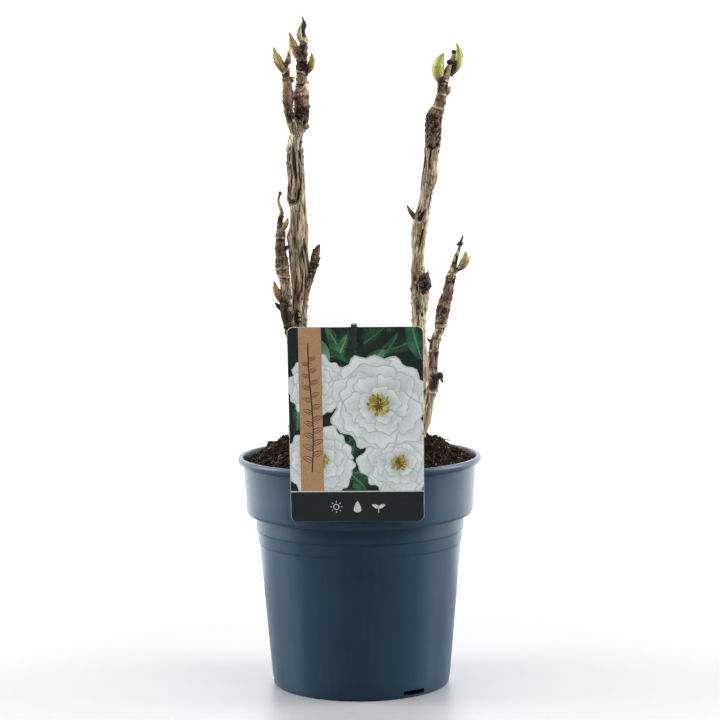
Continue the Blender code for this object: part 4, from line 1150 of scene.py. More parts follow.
def pot_material():
    shade = Shade("pot_plastic", 0.4, 0.36)
    cloud = shade.noise((0.02, 0.02, 0.03))
    grain = shade.noise((1.3, 1.3, 1.3), 2.0)
    flow = shade.noise((0.16, 0.16, 0.012), 4.0)
    rub = shade.noise((0.35, 0.35, 0.5), 6.0)
    colour = shade.ramp(cloud, (0.35, 31, 56, 72), (0.65, 34, 60, 77))
    colour = shade.mix(shade.mask(flow, 0.5, 0.8, 0.0, 0.2), colour, (58, 82, 102))
    colour = shade.mix(shade.mask(rub, 0.68, 0.8, 0.0, 0.25), colour, (90, 108, 120))
    shade.set("Sheen Weight", 0.12)
    shade.set("Sheen Roughness", 0.35)
    shade.set("Sheen Tint", linear(150, 200, 240))
    return shade.finish(colour, grain, 0.008, shade.span(rub, 0.28, 0.42))


def peat_material():
    shade = Shade("peat", 0.95, 0.15)
    crumb = shade.noise((0.75, 0.75, 0.75), 6.0)
    cloud = shade.noise((0.16, 0.16, 0.16))
    colour = shade.ramp(crumb, (0.34, 12, 10, 8), (0.5, 27, 22, 18), (0.68, 54, 44, 35))
    colour = shade.mix(shade.span(cloud, -0.2, 0.7), colour, (22, 18, 15))
    return shade.finish(colour, crumb, 1.1)


def print_material(name, stops, roughness, grain):
    """Printed film whose colour runs through the stops by the mesh's first tone."""
    shade = Shade(name, roughness)
    cloud = shade.noise((0.5, 0.5, 0.5), 4.0)
    colour = shade.ramp(shade.sum(shade.tones()[0], shade.span(cloud, -grain, grain)), *stops)
    fine = shade.noise((3.0, 3.0, 3.0), 1.0)
    return shade.finish(colour, fine, 0.004, shade.span(cloud, roughness - 0.04, roughness + 0.04))


# Pot

def body_radius(z):
    return BODY_R + BODY_FLARE * (z - BODY_Z)


def inner_wall():
    """The pot's inside, from the middle of the floor up to the lip."""
    inner_body = BODY_R - WALL
    neck_z = SKIRT_FOOT_Z + 1.3
    return [
        (0.0, FLOOR),
        (CHANNEL_IN - 1.0, FLOOR),
        (CHANNEL_IN - 1.0 + CHANNEL_SLOPE, FLOOR + CHANNEL_RISE),
        (CHANNEL_OUT + 1.0 - CHANNEL_SLOPE, FLOOR + CHANNEL_RISE),
        (CHANNEL_OUT + 1.0, FLOOR),
        (FOOT_R - WALL, FLOOR),
        (inner_body - 0.7, BODY_Z - 4.0),
        (inner_body, BODY_Z),
        (body_radius(NECK_FOOT_Z - 2.0) - WALL, NECK_FOOT_Z - 2.0),
        (NECK_R - WALL - 0.2, NECK_FOOT_Z + 9.0),
        (NECK_R - WALL, SKIRT_FOOT_Z - 3.0),
        (NECK_R - 0.2, neck_z - 0.6),
        (SKIRT_FOOT_R - 1.4, neck_z),
        (SKIRT_FOOT_R - 1.0, neck_z + 2.0),
        (SKIRT_TOP_R - WALL, POT_HEIGHT - 8.5),
        (LIP_R - 0.5, POT_HEIGHT - 2.2),
        (LIP_R, POT_HEIGHT - 0.5),
    ]


def outer_wall():
    """From the top of the rim down to the middle of the underside."""
    return [
        (LIP_R + 0.6, POT_HEIGHT),
        (RIM_R - 1.0, POT_HEIGHT),
        (RIM_R - 0.25, POT_HEIGHT - 0.9),
        (RIM_R, POT_HEIGHT - 2.1),
        (RIM_R - 0.3, POT_HEIGHT - 3.6),
        (RIM_R - 1.6, POT_HEIGHT - 4.9),
        (SKIRT_TOP_R + 0.1, POT_HEIGHT - 5.8),
        (SKIRT_FOOT_R + 1.5, SKIRT_FOOT_Z + 18.5),
        (SKIRT_FOOT_R + 0.5, SKIRT_FOOT_Z + 1.6),
        (SKIRT_FOOT_R - 0.6, SKIRT_FOOT_Z - 0.1),
        (NECK_R + 0.6, SKIRT_FOOT_Z - 0.8),
        (NECK_R, SKIRT_FOOT_Z - 1.6),
        (NECK_R - 0.1, NECK_FOOT_Z + 9.2),
        (NECK_R - 0.95, NECK_FOOT_Z + 8.8),
        (NECK_R - 1.65, NECK_FOOT_Z + 0.4),
        (body_radius(NECK_FOOT_Z - 2.0), NECK_FOOT_Z - 0.6),
        (BODY_R, BODY_Z),
        (BODY_R - 0.6, BODY_Z - 4.3),
        (FOOT_R + 0.8, 0.8),
        (FOOT_R, 0.0),
        (CHANNEL_OUT, 0.0),
        (CHANNEL_OUT - CHANNEL_SLOPE, CHANNEL_RISE),
        (CHANNEL_IN + CHANNEL_SLOPE, CHANNEL_RISE),
        (CHANNEL_IN, 0.0),
        (0.0, 0.0),
    ]


def filleted(profile, reach, points=4):
    """The profile with each corner rounded over reach on both sides, or less on a short run."""
    corners = [Vector(point) for point in profile]
    smooth = []
    for before, corner, after in zip(corners, corners[1:], corners[2:]):
        back = before - corner
        ahead = after - corner
        length = min(reach, back.length * 0.45, ahead.length * 0.45)
        start = corner + back.normalized() * length
        end = corner + ahead.normalized() * length
        for k in range(points + 1):
            t = k / points
            smooth.append(start * (1.0 - t) ** 2 + corner * (2.0 * t * (1.0 - t)) + end * t * t)
    return smooth


def make_pot(material):
    profile = np.array(filleted(inner_wall() + outer_wall(), CORNER_REACH)[::-1])
    radius, height = profile.T[..., None]
    angles = ring_angles(POT_SEGMENTS)
    heap = Heap()
    add_closed(heap, at(radius * np.cos(angles), radius * np.sin(angles), height))
    pot = heap.piece("pot_shell", [material], "pot", "pot")
    cutters = []
    for i in range(SLOT_COUNT):
        turn = math.radians(SLOT_FIRST + 360.0 / SLOT_COUNT * i)
        middle = Vector((math.sin(turn) * FOOT_R, -math.cos(turn) * FOOT_R, (SLOT_HIGH + SLOT_LOW) / 2.0))
        size = Matrix.Diagonal((SLOT_WIDTH * MM, SLOT_REACH * MM, (SLOT_HIGH - SLOT_LOW) * MM, 1.0))
        place = Matrix.Translation(middle * MM) @ Matrix.Rotation(turn, 4, "Z")
        work = bmesh.new()
        bmesh.ops.create_cube(work, size=1.0)
        bmesh.ops.transform(work, matrix=place @ size, verts=work.verts)
        mesh = bpy.data.meshes.new(f"drain_slot_{i}")
        work.to_mesh(mesh)
        work.free()
        cutter = placed(f"drain_slot_{i}", mesh)
        cutter.hide_render = True
        cutters.append(cutter)
        cut = pot.modifiers.new(f"Slot {i}", "BOOLEAN")
        cut.operation = "DIFFERENCE"
        cut.solver = "EXACT"
        cut.object = cutter
    bpy.context.view_layer.update()
    graph = bpy.context.evaluated_depsgraph_get()
    mesh = bpy.data.meshes.new_from_object(pot.evaluated_get(graph))
    pot.modifiers.clear()
    pot.data = mesh
    mesh.set_sharp_from_angle(angle=math.radians(50))
    for cutter in cutters:
        bpy.data.objects.remove(cutter, do_unlink=True)


# Peat

def soil_height(x, y):
    """The mound's height with its lumps and hollows."""
    radius = np.hypot(x, y)
    lumps = 0.0
    for i, (height, width) in enumerate(PEAT_LUMPS):
        lumps = lumps + height * noise(at(x / width, y / width, 0.0), PEAT_SEED + i)
    inland = ease(0.0, 22.0, MOUND_R - radius)
    return MOUND_TOP - MOUND_FALL * radius**2 + lumps * (0.4 + 0.6 * inland) - 0.8 - 1.2 * (1.0 - inland)


def make_mound(material):
    heap = Heap()
    radius = (MOUND_R * np.sqrt(np.linspace(1.0, 0.0005, MOUND_RINGS)))[:, None]
    angles = ring_angles(MOUND_SPOKES)
    x = radius * np.cos(angles)
    y = radius * np.sin(angles)
    below = at(x[:1] * 0.97, y[:1] * 0.97, SKIRT_FOOT_Z + 8.0)
    add_closed(heap, np.concatenate((below, at(x, y, soil_height(x, y)))))
    heap.piece("peat_mound", [material], "peat", "soil")


def scattered(count, chance, spread=1.0):
    """Places on the mound, more or less evenly."""
    radius = (MOUND_R - 1.6) * np.sqrt(chance.random(count)) * spread
    angle = chance.random(count) * 2.0 * math.pi
    x = radius * np.cos(angle)
    y = radius * np.sin(angle)
    return x, y, soil_height(x, y)


def turned_at_random(count, chance):
    """Random rotations, one for each of count things."""
    quaternion = unit(chance.normal(size=(count, 4)))
    w, x, y, z = quaternion.T
    rows = (
        (1 - 2 * (y * y + z * z), 2 * (x * y - z * w), 2 * (x * z + y * w)),
        (2 * (x * y + z * w), 1 - 2 * (x * x + z * z), 2 * (y * z - x * w)),
        (2 * (x * z - y * w), 2 * (y * z + x * w), 1 - 2 * (x * x + y * y)),
    )
    return np.array(rows).transpose(2, 0, 1)


def icosphere(subdivisions):
    work = bmesh.new()
    bmesh.ops.create_icosphere(work, subdivisions=subdivisions, radius=1.0)
    points = np.array([vertex.co for vertex in work.verts])
    faces = [[vertex.index for vertex in face.verts] for face in work.faces]
    work.free()
    return points, faces


def add_clods(heap, count, sizes, shape, fineness, chance, picks, sink, spread=1.0):
    """Crumbs of peat: jagged lumps half sunk in the mound, in the picked colours."""
    ball, faces = icosphere(fineness)
    x, y, z = scattered(count, chance, spread)
    size = sizes[0] + (sizes[1] - sizes[0]) * chance.random(count) ** 2.2
    turns = turned_at_random(count, chance)
    shapes = size[:, None] * (np.array(shape) * chance.uniform(0.7, 1.3, (count, 3)))
    for i in range(count):
        jagged = ball * chance.uniform(0.72, 1.25, (len(ball), 1))
        points = (jagged * shapes[i]) @ turns[i].T + (x[i], y[i], z[i] + size[i] * sink)
        heap.add(points, faces, pick=picks[int(chance.integers(len(picks)))])


def add_fibres(heap, count, lengths, thickness, chance, picks, spread=1.0):
    """Strands of peat fibre and root that lie on the mound and curl a little."""
    x, y, z = scattered(count, chance, spread)
    steps = 7
    for i in range(count):
        length = chance.uniform(*lengths)
        heading = chance.uniform(0.0, 2.0 * math.pi)
        rise = chance.uniform(-0.1, 0.2)
        points = [np.array((x[i], y[i], z[i] - 0.3))]
        for _ in range(steps):
            heading += chance.uniform(-0.45, 0.45)
            way = np.array((math.cos(heading), math.sin(heading), rise))
            rise = rise * 0.7 - 0.08
            points.append(points[-1] + way * length / steps)
        centre = np.array(points)
        inside = np.hypot(centre[:, 0], centre[:, 1])
        centre[:, :2] *= np.minimum(1.0, (MOUND_R - 1.0) / np.maximum(inside, 1.0))[:, None]
        centre[:, 2] = np.maximum(centre[:, 2], soil_height(centre[:, 0], centre[:, 1]) - 0.1)
        girth = thickness * chance.uniform(0.6, 1.4) * np.sin(np.linspace(0.5, 2.9, steps + 1))
        line = Line(np.column_stack((centre, girth)))
        rings = line.rings(ring_angles(4), girth[:, None] * np.ones(4))
        add_closed(heap, rings, pick=picks[int(chance.integers(len(picks)))])


def make_peat():
    make_mound(peat_material())
    chance = np.random.default_rng(PEAT_SEED)
    crumb = [
        mottled("crumb_black", (10, 8, 7), (19, 16, 13), 0.9, 0.4, 0.95, gloss=0.15),
        mottled("crumb_dark", (23, 18, 14), (39, 31, 24), 0.9, 0.4, 0.95, gloss=0.2),
        mottled("crumb_brown", (42, 32, 24), (64, 49, 37), 0.9, 0.4, 0.93, gloss=0.2),
        mottled("crumb_rust", (66, 48, 35), (94, 69, 50), 0.9, 0.3, 0.88),
        mottled("crumb_pale", (150, 132, 112), (188, 172, 150), 0.9, 0.3, 0.85),
    ]
    heap = Heap()
    add_clods(heap, 260, (1.2, 3.0), (1.0, 1.0, 0.7), 2, chance, (0, 1, 1, 2), 0.0, 0.93)
    add_clods(heap, 6800, (0.35, 1.3), (1.0, 1.0, 0.8), 1, chance, (0, 0, 0, 1, 1, 1, 2, 2, 2, 3), 0.25)
    add_clods(heap, 60, (0.4, 0.8), (1.0, 0.8, 0.7), 1, chance, (4,), 0.3)
    heap.piece("peat_crumbs", crumb, "peat", smooth=False)
    strand = [
        mottled("fibre_rust", (86, 60, 42), (122, 88, 62), 0.6, 0.1, 0.85),
        mottled("fibre_brown", (60, 46, 34), (90, 70, 52), 0.6, 0.1, 0.88),
        mottled("fibre_tan", (150, 122, 90), (190, 162, 126), 0.6, 0.1, 0.85),
    ]
    heap = Heap()
    add_clods(heap, 170, (0.8, 2.4), (1.7, 0.5, 0.22), 1, chance, (0, 1, 1, 1), 0.2, 0.97)
    add_fibres(heap, 620, (3.0, 11.0), 0.22, chance, (0, 1, 1, 1, 2))
    heap.piece("peat_fibres", strand, "peat", smooth=False)


# Label

def card_frame():
    """The card's axes: across, up along the card, and out of its front."""
    turn = Matrix.Rotation(CARD_YAW, 3, "Z")
    across = turn @ Vector((1.0, 0.0, 0.0))
    up = turn @ Vector((0.0, -math.sin(CARD_TILT), math.cos(CARD_TILT)))
    return np.array(across), np.array(up), np.array(across.cross(up))


def on_card(x, y, lift):
    """Points in space from places on the card, lift in front of its printed face."""
    across, up, out = card_frame()
    x, y, lift = (np.asarray(value, float)[..., None] for value in (x, y, lift))
    return np.array(CARD_CENTRE) + x * across + y * up + (lift + CARD_T / 2.0) * out


def rounded_outline(width, height, corner, steps):
    points = []
    for cx, cy, start in ((1, 1, 0.0), (-1, 1, 90.0), (-1, -1, 180.0), (1, -1, 270.0)):
        for k in range(steps + 1):
            angle = math.radians(start + 90.0 * k / steps)
            x = cx * (width / 2.0 - corner) + corner * math.cos(angle)
            y = cy * (height / 2.0 - corner) + corner * math.sin(angle)
            points.append((x, y))
    return points


CARD_EDGE = np.array(rounded_outline(CARD_W - 0.5, CARD_H - 0.5, CARD_CORNER - 0.25, 8))


def clipped(cell):
    """The part of a cell that lies on the card. Its rows hold x, y and a tone."""
    for start, end in zip(CARD_EDGE, np.roll(CARD_EDGE, -1, axis=0)):
        if len(cell) == 0:
            break
        way = end - start
        depth = way[0] * (cell[:, 1] - start[1]) - way[1] * (cell[:, 0] - start[0])
        if (depth >= 0.0).all():
            continue
        kept = []
        for i in range(len(cell)):
            k = (i + 1) % len(cell)
            if depth[i] >= 0.0:
                kept.append(cell[i])
            if (depth[i] >= 0.0) != (depth[k] >= 0.0):
                share = depth[i] / (depth[i] - depth[k])
                kept.append(cell[i] + (cell[k] - cell[i]) * share)
        cell = np.array(kept)
    return cell


def add_print(heap, x, y, tone, lift, pick=0):
    """A grid of places on the card as printed cells, cut to the card's outline."""
    inside = (np.abs(x) < CARD_W / 2.0 - CARD_CORNER) & (np.abs(y) < CARD_H / 2.0 - CARD_CORNER)
    inside = inside.ravel()
    table = at(x, y, tone).reshape(-1, 3)
    whole = []
    for face in grid_faces(*x.shape, wrap=False):
        if inside[face].all():
            whole.append(face)
            continue
        cell = clipped(table[face])
        if len(cell) > 2:
            tones = at(cell[:, 2], 0.0, 0.0, 0.0)
            heap.add(on_card(cell[:, 0], cell[:, 1], lift), [list(range(len(cell)))], tones, pick)
    if whole:
        used = sorted({index for face in whole for index in face})
        lookup = {index: k for k, index in enumerate(used)}
        faces = [[lookup[index] for index in face] for face in whole]
        px, py, tones = table[used].T
        heap.add(on_card(px, py, lift), faces, at(tones, 0.0, 0.0, 0.0), pick)


def blade(x, y, turn, length, width, bend, rows=14, columns=7, belly=0.8):
    """The grid of a leaf or petal shape on the card, from its root at x, y."""
    along, across = sheet_grid(rows, columns)
    half = width / 2.0 * np.sin(math.pi * along**belly) ** 0.75
    swing = turn + bend * along
    px = x + length * along * np.cos(swing) - half * across * np.sin(swing)
    py = y + length * along * np.sin(swing) + half * across * np.cos(swing)
    return px, py


def print_leaves(heap, chance):
    """Dark foliage all over the card, each leaf with a pale midrib and side veins."""
    x, y = np.meshgrid(np.linspace(-45.0, 45.0, 10), np.linspace(-67.5, 67.5, 14))
    add_print(heap, x, y, 0.06, 0.01)
    along, across = sheet_grid(14, 7)
    lift = 0.02
    for i in range(LEAVES):
        px = chance.uniform(-PAST_SIDE, PAST_SIDE)
        py = chance.uniform(-62.0, 70.0)
        turn = chance.uniform(0.0, 2.0 * math.pi)
        length = chance.uniform(20.0, 38.0)
        width = length * chance.uniform(0.3, 0.42)
        bend = chance.uniform(-0.5, 0.5)
        light = chance.uniform(0.1, 0.55) + 0.3 * (i / LEAVES) * chance.random()
        tone = light + 0.16 * across - 0.12 * np.abs(across) ** 3 + 0.08 * np.sin(along * 14.0 + i)
        add_print(heap, *blade(px, py, turn, length, width, bend), np.clip(tone, 0.02, 0.9), lift)
        midrib = blade(px, py, turn, length, 1.1, bend, columns=3)
        add_print(heap, *midrib, min(light + 0.3, 0.95), lift + 0.002)
        for k in range(1, 6):
            share = 0.12 + 0.14 * k
            swing = turn + bend * share
            root = (px + length * share * math.cos(swing), py + length * share * math.sin(swing))
            reach = width * 0.55 * math.sin(math.pi * share**0.8) ** 0.75
            for hand in (-1.0, 1.0):
                vein = blade(*root, swing + hand * 0.8, reach, 0.5, hand * -0.3, rows=5, columns=3)
                add_print(heap, *vein, min(light + 0.16, 0.9), lift + 0.002)
        lift += 0.0015


def petal(x, y, way, length, spread, seed, rows=14):
    """The grid of a fan-shaped petal with a ruffled rim."""
    along, across = sheet_grid(rows, 17, 0.04)
    ruffle = 0.05 * np.sin(across * 5.3 + seed) + 0.035 * np.sin(across * 11.7 + 2.1 * seed)
    notch = 0.07 * np.exp(-(((across - 0.5 * math.sin(seed)) / 0.14) ** 2))
    rim = (1.0 - 0.2 * np.abs(across) ** 2.6 + ruffle - notch) * along ** (1.0 + 0.25 * across**2)
    angle = way + across * spread * (0.42 + 0.58 * np.sin(math.pi * 0.5 * along))
    return x + length * rim * np.cos(angle), y + length * rim * np.sin(angle)


def print_petal(heap, x, y, way, length, spread, seed, depth, lift):
    """A petal over its own shadow. depth is 0 on the outer petals and 1 on the inner ones."""
    shadow = petal(x, y, way, length * 1.035, spread * 1.06, seed, 6)
    add_print(heap, *shadow, 0.52 - 0.14 * depth, lift, 1)
    along, across = sheet_grid(14, 17, 0.04)
    folds = 0.06 * np.sin(across * 8.0 + seed) * np.sin(math.pi * along) + 0.03 * np.sin(across * 23.0 + seed)
    curl = 0.12 * np.sin(across * 3.1 + 1.7 * seed) * along**2
    tone = 0.34 + 0.62 * along**2.4 + folds + curl - 0.15 * np.abs(across) ** 4
    tone = tone - 0.06 * ease(0.92, 1.0, along) + 0.05 * math.sin(3.0 * seed)
    add_print(heap, *petal(x, y, way, length, spread, seed), np.clip(tone, 0.05, 1.0), lift + 0.0015, 1)


def print_flower(heap, x, y, radius, turn, lift, chance):
    """A white blossom seen from the front: rings of ruffled petals round a tuft of yellow stamens."""
    for ring, (count, reach, spread) in enumerate(PETAL_RINGS):
        depth = ring / len(PETAL_RINGS)
        for k in range(count):
            way = turn + ring * 0.47 + 2.0 * math.pi * (k + chance.uniform(-0.16, 0.16)) / count
            length = radius * reach * chance.uniform(0.9, 1.08)
            wide = spread * chance.uniform(0.9, 1.12)
            print_petal(heap, x, y, way, length, wide, chance.uniform(0.0, 6.0), depth, lift)
            lift += 0.003
    heart = blade(x - radius * 0.12, y, 0.0, radius * 0.24, radius * 0.3, 0.0, belly=1.0)
    add_print(heap, *heart, 0.1, lift, 2)
    for k in range(STAMENS):
        way = chance.uniform(0.0, 2.0 * math.pi)
        out = radius * 0.17 * math.sqrt(chance.random())
        size = radius * chance.uniform(0.022, 0.042)
        root = (x + out * math.cos(way), y + out * math.sin(way))
        stamen = blade(*root, way, size * 2.6, size, 0.2, rows=4, columns=3, belly=1.5)
        add_print(heap, *stamen, chance.uniform(0.2, 1.0), lift + 0.003 + 0.0005 * k / STAMENS, 2)
    return lift + 0.006


def box_grid(left, low, right, high, rows=2, columns=2):
    return np.meshgrid(np.linspace(left, right, columns), np.linspace(low, high, rows))


def print_sprig(heap, x, low, high, lift, pick):
    """A line-drawn sprig up the paper strip."""
    along, across = sheet_grid(60, 2)
    stem = x + 1.2 * np.sin(along * 5.0) + 0.4 * across
    add_print(heap, stem, low + (high - low) * along, SPRIG_TONE, lift, pick)
    for k in range(SPRIG_LEAVES):
        share = 0.1 + 0.84 * k / SPRIG_LEAVES
        size = 8.2 - 3.4 * share
        for hand in (-1.0, 1.0):
            root = (x + 1.2 * math.sin(share * 5.0), low + (high - low) * (share + 0.02 * hand))
            turn = math.pi / 2.0 - hand * 0.85
            bend = hand * -0.25
            outer = np.array(blade(*root, turn, size, size * 0.5, bend, rows=20, columns=3))
            inner = np.array(blade(*root, turn, size * 0.96, size * 0.5 - 0.95, bend, rows=20, columns=3))
            for column in (0, 2):
                edge = np.stack((outer[..., column], inner[..., column]), -1)
                if (column == 0) == (hand > 0.0):
                    edge = edge[..., ::-1]
                add_print(heap, *edge, SPRIG_TONE, lift, pick)
            midrib = blade(*root, turn, size * 0.8, 0.4, bend, rows=8, columns=3)
            add_print(heap, *midrib, SPRIG_TONE, lift, pick)


def ring_grid(x, y, inner, outer, count=40):
    angles = np.linspace(0.0, 2.0 * math.pi, count)[:, None]
    radius = np.array((outer, inner))[None]
    return x + radius * np.cos(angles), y + radius * np.sin(angles)


def print_signs(heap, y, lift, pick):
    """Small care signs on the dark band: sun, drop and sprout."""
    signs = [ring_grid(-SIGN_X, y, 1.5, 2.1)]
    for k in range(8):
        way = math.pi / 4.0 * k
        root = (-SIGN_X + 2.8 * math.cos(way), y + 2.8 * math.sin(way))
        signs.append(blade(*root, way, 1.6, 0.55, 0.0, rows=4, columns=3, belly=1.0))
    signs.append(blade(0.0, y - 4.0, math.pi / 2.0, 8.0, 5.0, 0.0, rows=24, columns=9, belly=0.55))
    for hand in (-1.0, 1.0):
        turn = math.pi / 2.0 - hand * 0.75
        signs.append(blade(SIGN_X, y - 1.2, turn, 5.2, 2.6, hand * -0.3, columns=5))
    signs.append(box_grid(SIGN_X - 0.3, y - 4.2, SIGN_X + 0.3, y - 0.6))
    for px, py in signs:
        add_print(heap, px, py, 0.95, lift, pick)


def make_card():
    """The card itself: white film with rounded corners and a printed face."""
    film = mottled("card_film", (201, 204, 200), (206, 209, 204), 0.4, 0.003, 0.35)
    edge = np.array(rounded_outline(CARD_W, CARD_H, CARD_CORNER, 12)).T
    inner = np.array(rounded_outline(CARD_W - 0.3, CARD_H - 0.3, CARD_CORNER - 0.15, 12)).T
    levels = ((inner, -CARD_T), (edge, -CARD_T + 0.12), (edge, -0.12), (inner, 0.0))
    rings = [on_card(*outline, lift) for outline, lift in levels]
    heap = Heap()
    add_closed(heap, np.array(rings))
    heap.piece("label_film", [film], "label_card", "label_card", smooth=False)


def make_label():
    make_card()
    chance = random.Random(SEED)
    inks = [print_material(*ink) for ink in PICTURE_INKS]
    heap = Heap()
    print_leaves(heap, chance)
    lift = 0.13
    for x, y, radius, turn in FLOWERS:
        lift = print_flower(heap, x, y, radius, turn, lift, chance)
    heap.piece("label_picture", inks, "label_card", smooth=False)
    heap = Heap()
    top = lift + 0.02
    strip = box_grid(STRIP_LEFT, BAND_TOP, STRIP_LEFT + STRIP_W, PAST_END, 12, 4)
    add_print(heap, *strip, 0.0, top, 0)
    print_sprig(heap, STRIP_LEFT + STRIP_W / 2.0, BAND_TOP + 14.0, 56.0, top + 0.006, 1)
    band = box_grid(-PAST_SIDE, -PAST_END, PAST_SIDE, BAND_TOP, 4, 12)
    add_print(heap, *band, 0.0, top + 0.006, 2)
    rule = box_grid(-PAST_SIDE, BAND_TOP, PAST_SIDE, BAND_TOP + 0.8, 2, 12)
    add_print(heap, *rule, 0.0, top + 0.008, 3)
    print_signs(heap, (BAND_TOP - CARD_H / 2.0) / 2.0, top + 0.014, 3)
    inks = [mottled(*ink) for ink in BAND_INKS]
    heap.piece("label_bands", inks, "label_card", smooth=False)
    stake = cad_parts["label_stake"]
    stake.data.materials.clear()
    stake.data.materials.append(mottled("stake_plastic", (34, 48, 42), (46, 60, 54), 0.5, 0.02, 0.42))


# Growth

def grown(below, stations, step, overlap):
    """The route of a shoot that grows on from the limb below, started a little inside its tip."""
    joint = len(below) - 1
    route = smooth_route(below + stations, step, joint)
    ahead = unit(route[1, :3] - route[0, :3])
    foot = np.array((*(route[0, :3] - ahead * overlap), route[0, 3] * 0.9))
    return np.concatenate((foot[None], route))


def stem_route(stations, beyond, step):
    return smooth_route(stations + beyond, step, 0, len(stations) - 1)


def flare(route, size, reach):
    """Thickens the foot of a route by size, less and less over the reach."""
    route[:, 3] += size * np.exp(-np.arange(len(route)) * TWIG_STEP / reach)


def make_left_growth(bark_skin, buds, dry):
    heap = Heap()
    route = domed(stem_route(LEFT_STEM, LEFT_TOP, STEM_STEP))
    line = add_limb(heap, route, 108, SEED, LEFT_STEM_ZONES, (), LEFT_STEM_MARKS, LEFT_STEM_SCARS)
    knob = domed(bowed(*LEFT_KNOB, STUB_PROFILE, 12).route())
    add_limb(heap, knob, 32, SEED + 20, even_zones(0.5, 0.3, 0.6, 0.3))
    whole = Line(smooth_route(LEFT_STEM + LEFT_TOP, STEM_STEP))
    for cuff in LEFT_CUFFS:
        add_cuff(heap, whole, *cuff)
    add_sliver(heap, LEFT_SLIVER, 4, 0.1)
    for strip in LEFT_STRIPS:
        add_strip(heap, line, *strip)
    add_strips(heap, line, *LEFT_STRIP_ROW)
    add_scars(buds, LEFT_STEM, 0.18, 0.80, 4, SEED)
    heap.piece("left_stem_bark", [bark_skin], "bark", "left_stem")

    heap = Heap()
    route = domed(stem_route(SIDE_BOUGH, LEFT_SIDE, TWIG_STEP))
    flare(route, 1.2, 9.0)
    add_limb(heap, route, 56, SEED + 1, SIDE_BOUGH_ZONES, (), SIDE_BOUGH_MARKS)
    heap.piece("left_side_bough_bark", [bark_skin], "bark", "left_side_bough")

    heap = Heap()
    route = domed(grown(SIDE_BOUGH, LEFT_SIDE, TWIG_STEP, 0.8))
    route[:, 3] *= np.interp(route[:, 2], *SIDE_TIP_THINS)
    add_limb(heap, route, 56, SEED + 2, LEFT_SIDE_ZONES, LEFT_SIDE_RINGS, LEFT_SIDE_MARKS)
    add_claws(dry, LEFT_SIDE_STUBS, CLAW_PROFILE, 26, 40)
    heap.piece("left_side_twigs_bark", [bark_skin], "young_growth", "left_side_twigs")
    add_buds(buds, LEFT_SIDE_BUDS, BUD_PROFILE, 51, (0.0, 0.35), 3)
    add_scars(buds, LEFT_SIDE, 0.30, 0.62, 2, SEED + 1)
    add_ball(dry, *SIDE_TIP_BALL, 7, DARK_CORE, 0.35)

    heap = Heap()
    route = domed(smooth_route(LEFT_FORK, TWIG_STEP))
    add_limb(heap, route, 56, SEED + 3, LEFT_FORK_ZONES, LEFT_FORK_RINGS, LEFT_FORK_MARKS)
    stalk, cup, thorn = LEFT_FORK_STUBS
    add_claw(heap, bowed(*stalk, STUB_PROFILE, 24), 61, 0.9, (0.6, 0.9, 0.0, 0.0))
    add_cup(heap, cup, 61)
    add_ball(heap, *FORK_EYE, 60, (0.0, 0.0, 0.9, 0.4))
    heap.piece("left_fork_twigs_bark", [bark_skin], "young_growth", "left_fork_twigs")
    add_claw(dry, bowed(*thorn, CLAW_PROFILE, 20), 62)
    add_ball(dry, *FORK_CORE, 66, DARK_CORE)
    add_buds(buds, LEFT_FORK_BUDS, BUD_PROFILE, 53, (0.55,), 4)

    heap = Heap()
    route = domed(grown(LEFT_STEM, LEFT_TOP, TWIG_STEP, 1.0))
    add_limb(heap, route, 60, SEED + 4, LEFT_TOP_ZONES, LEFT_TOP_RINGS, LEFT_TOP_MARKS)
    add_claws(heap, LEFT_TOP_HEELS, STUB_PROFILE, 24, 67, 0.8, (0.75, 1.0, 0.0, 0.0))
    add_claw(heap, bowed(*LEFT_TOP_HUSK, BUD_PROFILE, 30), 69, 0.8, (0.15, 0.2, 0.5, 0.8))
    heap.piece("left_top_twigs_bark", [bark_skin], "young_growth", "left_top_twigs")
    add_buds(buds, LEFT_TOP_BUDS, BUD_PROFILE, 54, (0.22, 0.5), 4)
    add_claw(dry, Line(domed(smooth_route(LEFT_TOP_CLAW, 0.5))), 63, 0.8)
    add_scars(buds, LEFT_TOP, 0.15, 0.75, 2, SEED + 2)

    heap = Heap()
    route = smooth_route(LEFT_SPUR, TWIG_STEP)
    flare(route, 0.9, 5.0)
    add_limb(heap, domed(route), 44, SEED + 5, LEFT_SPUR_ZONES, LEFT_SPUR_RINGS)
    add_claws(heap, SPUR_SCALES, STUB_PROFILE, 26, 58, 0.7, (0.8, 1.0, 0.0, 0.0))
    heap.piece("left_spur_twigs_bark", [bark_skin], "young_growth", "left_spur_twigs")


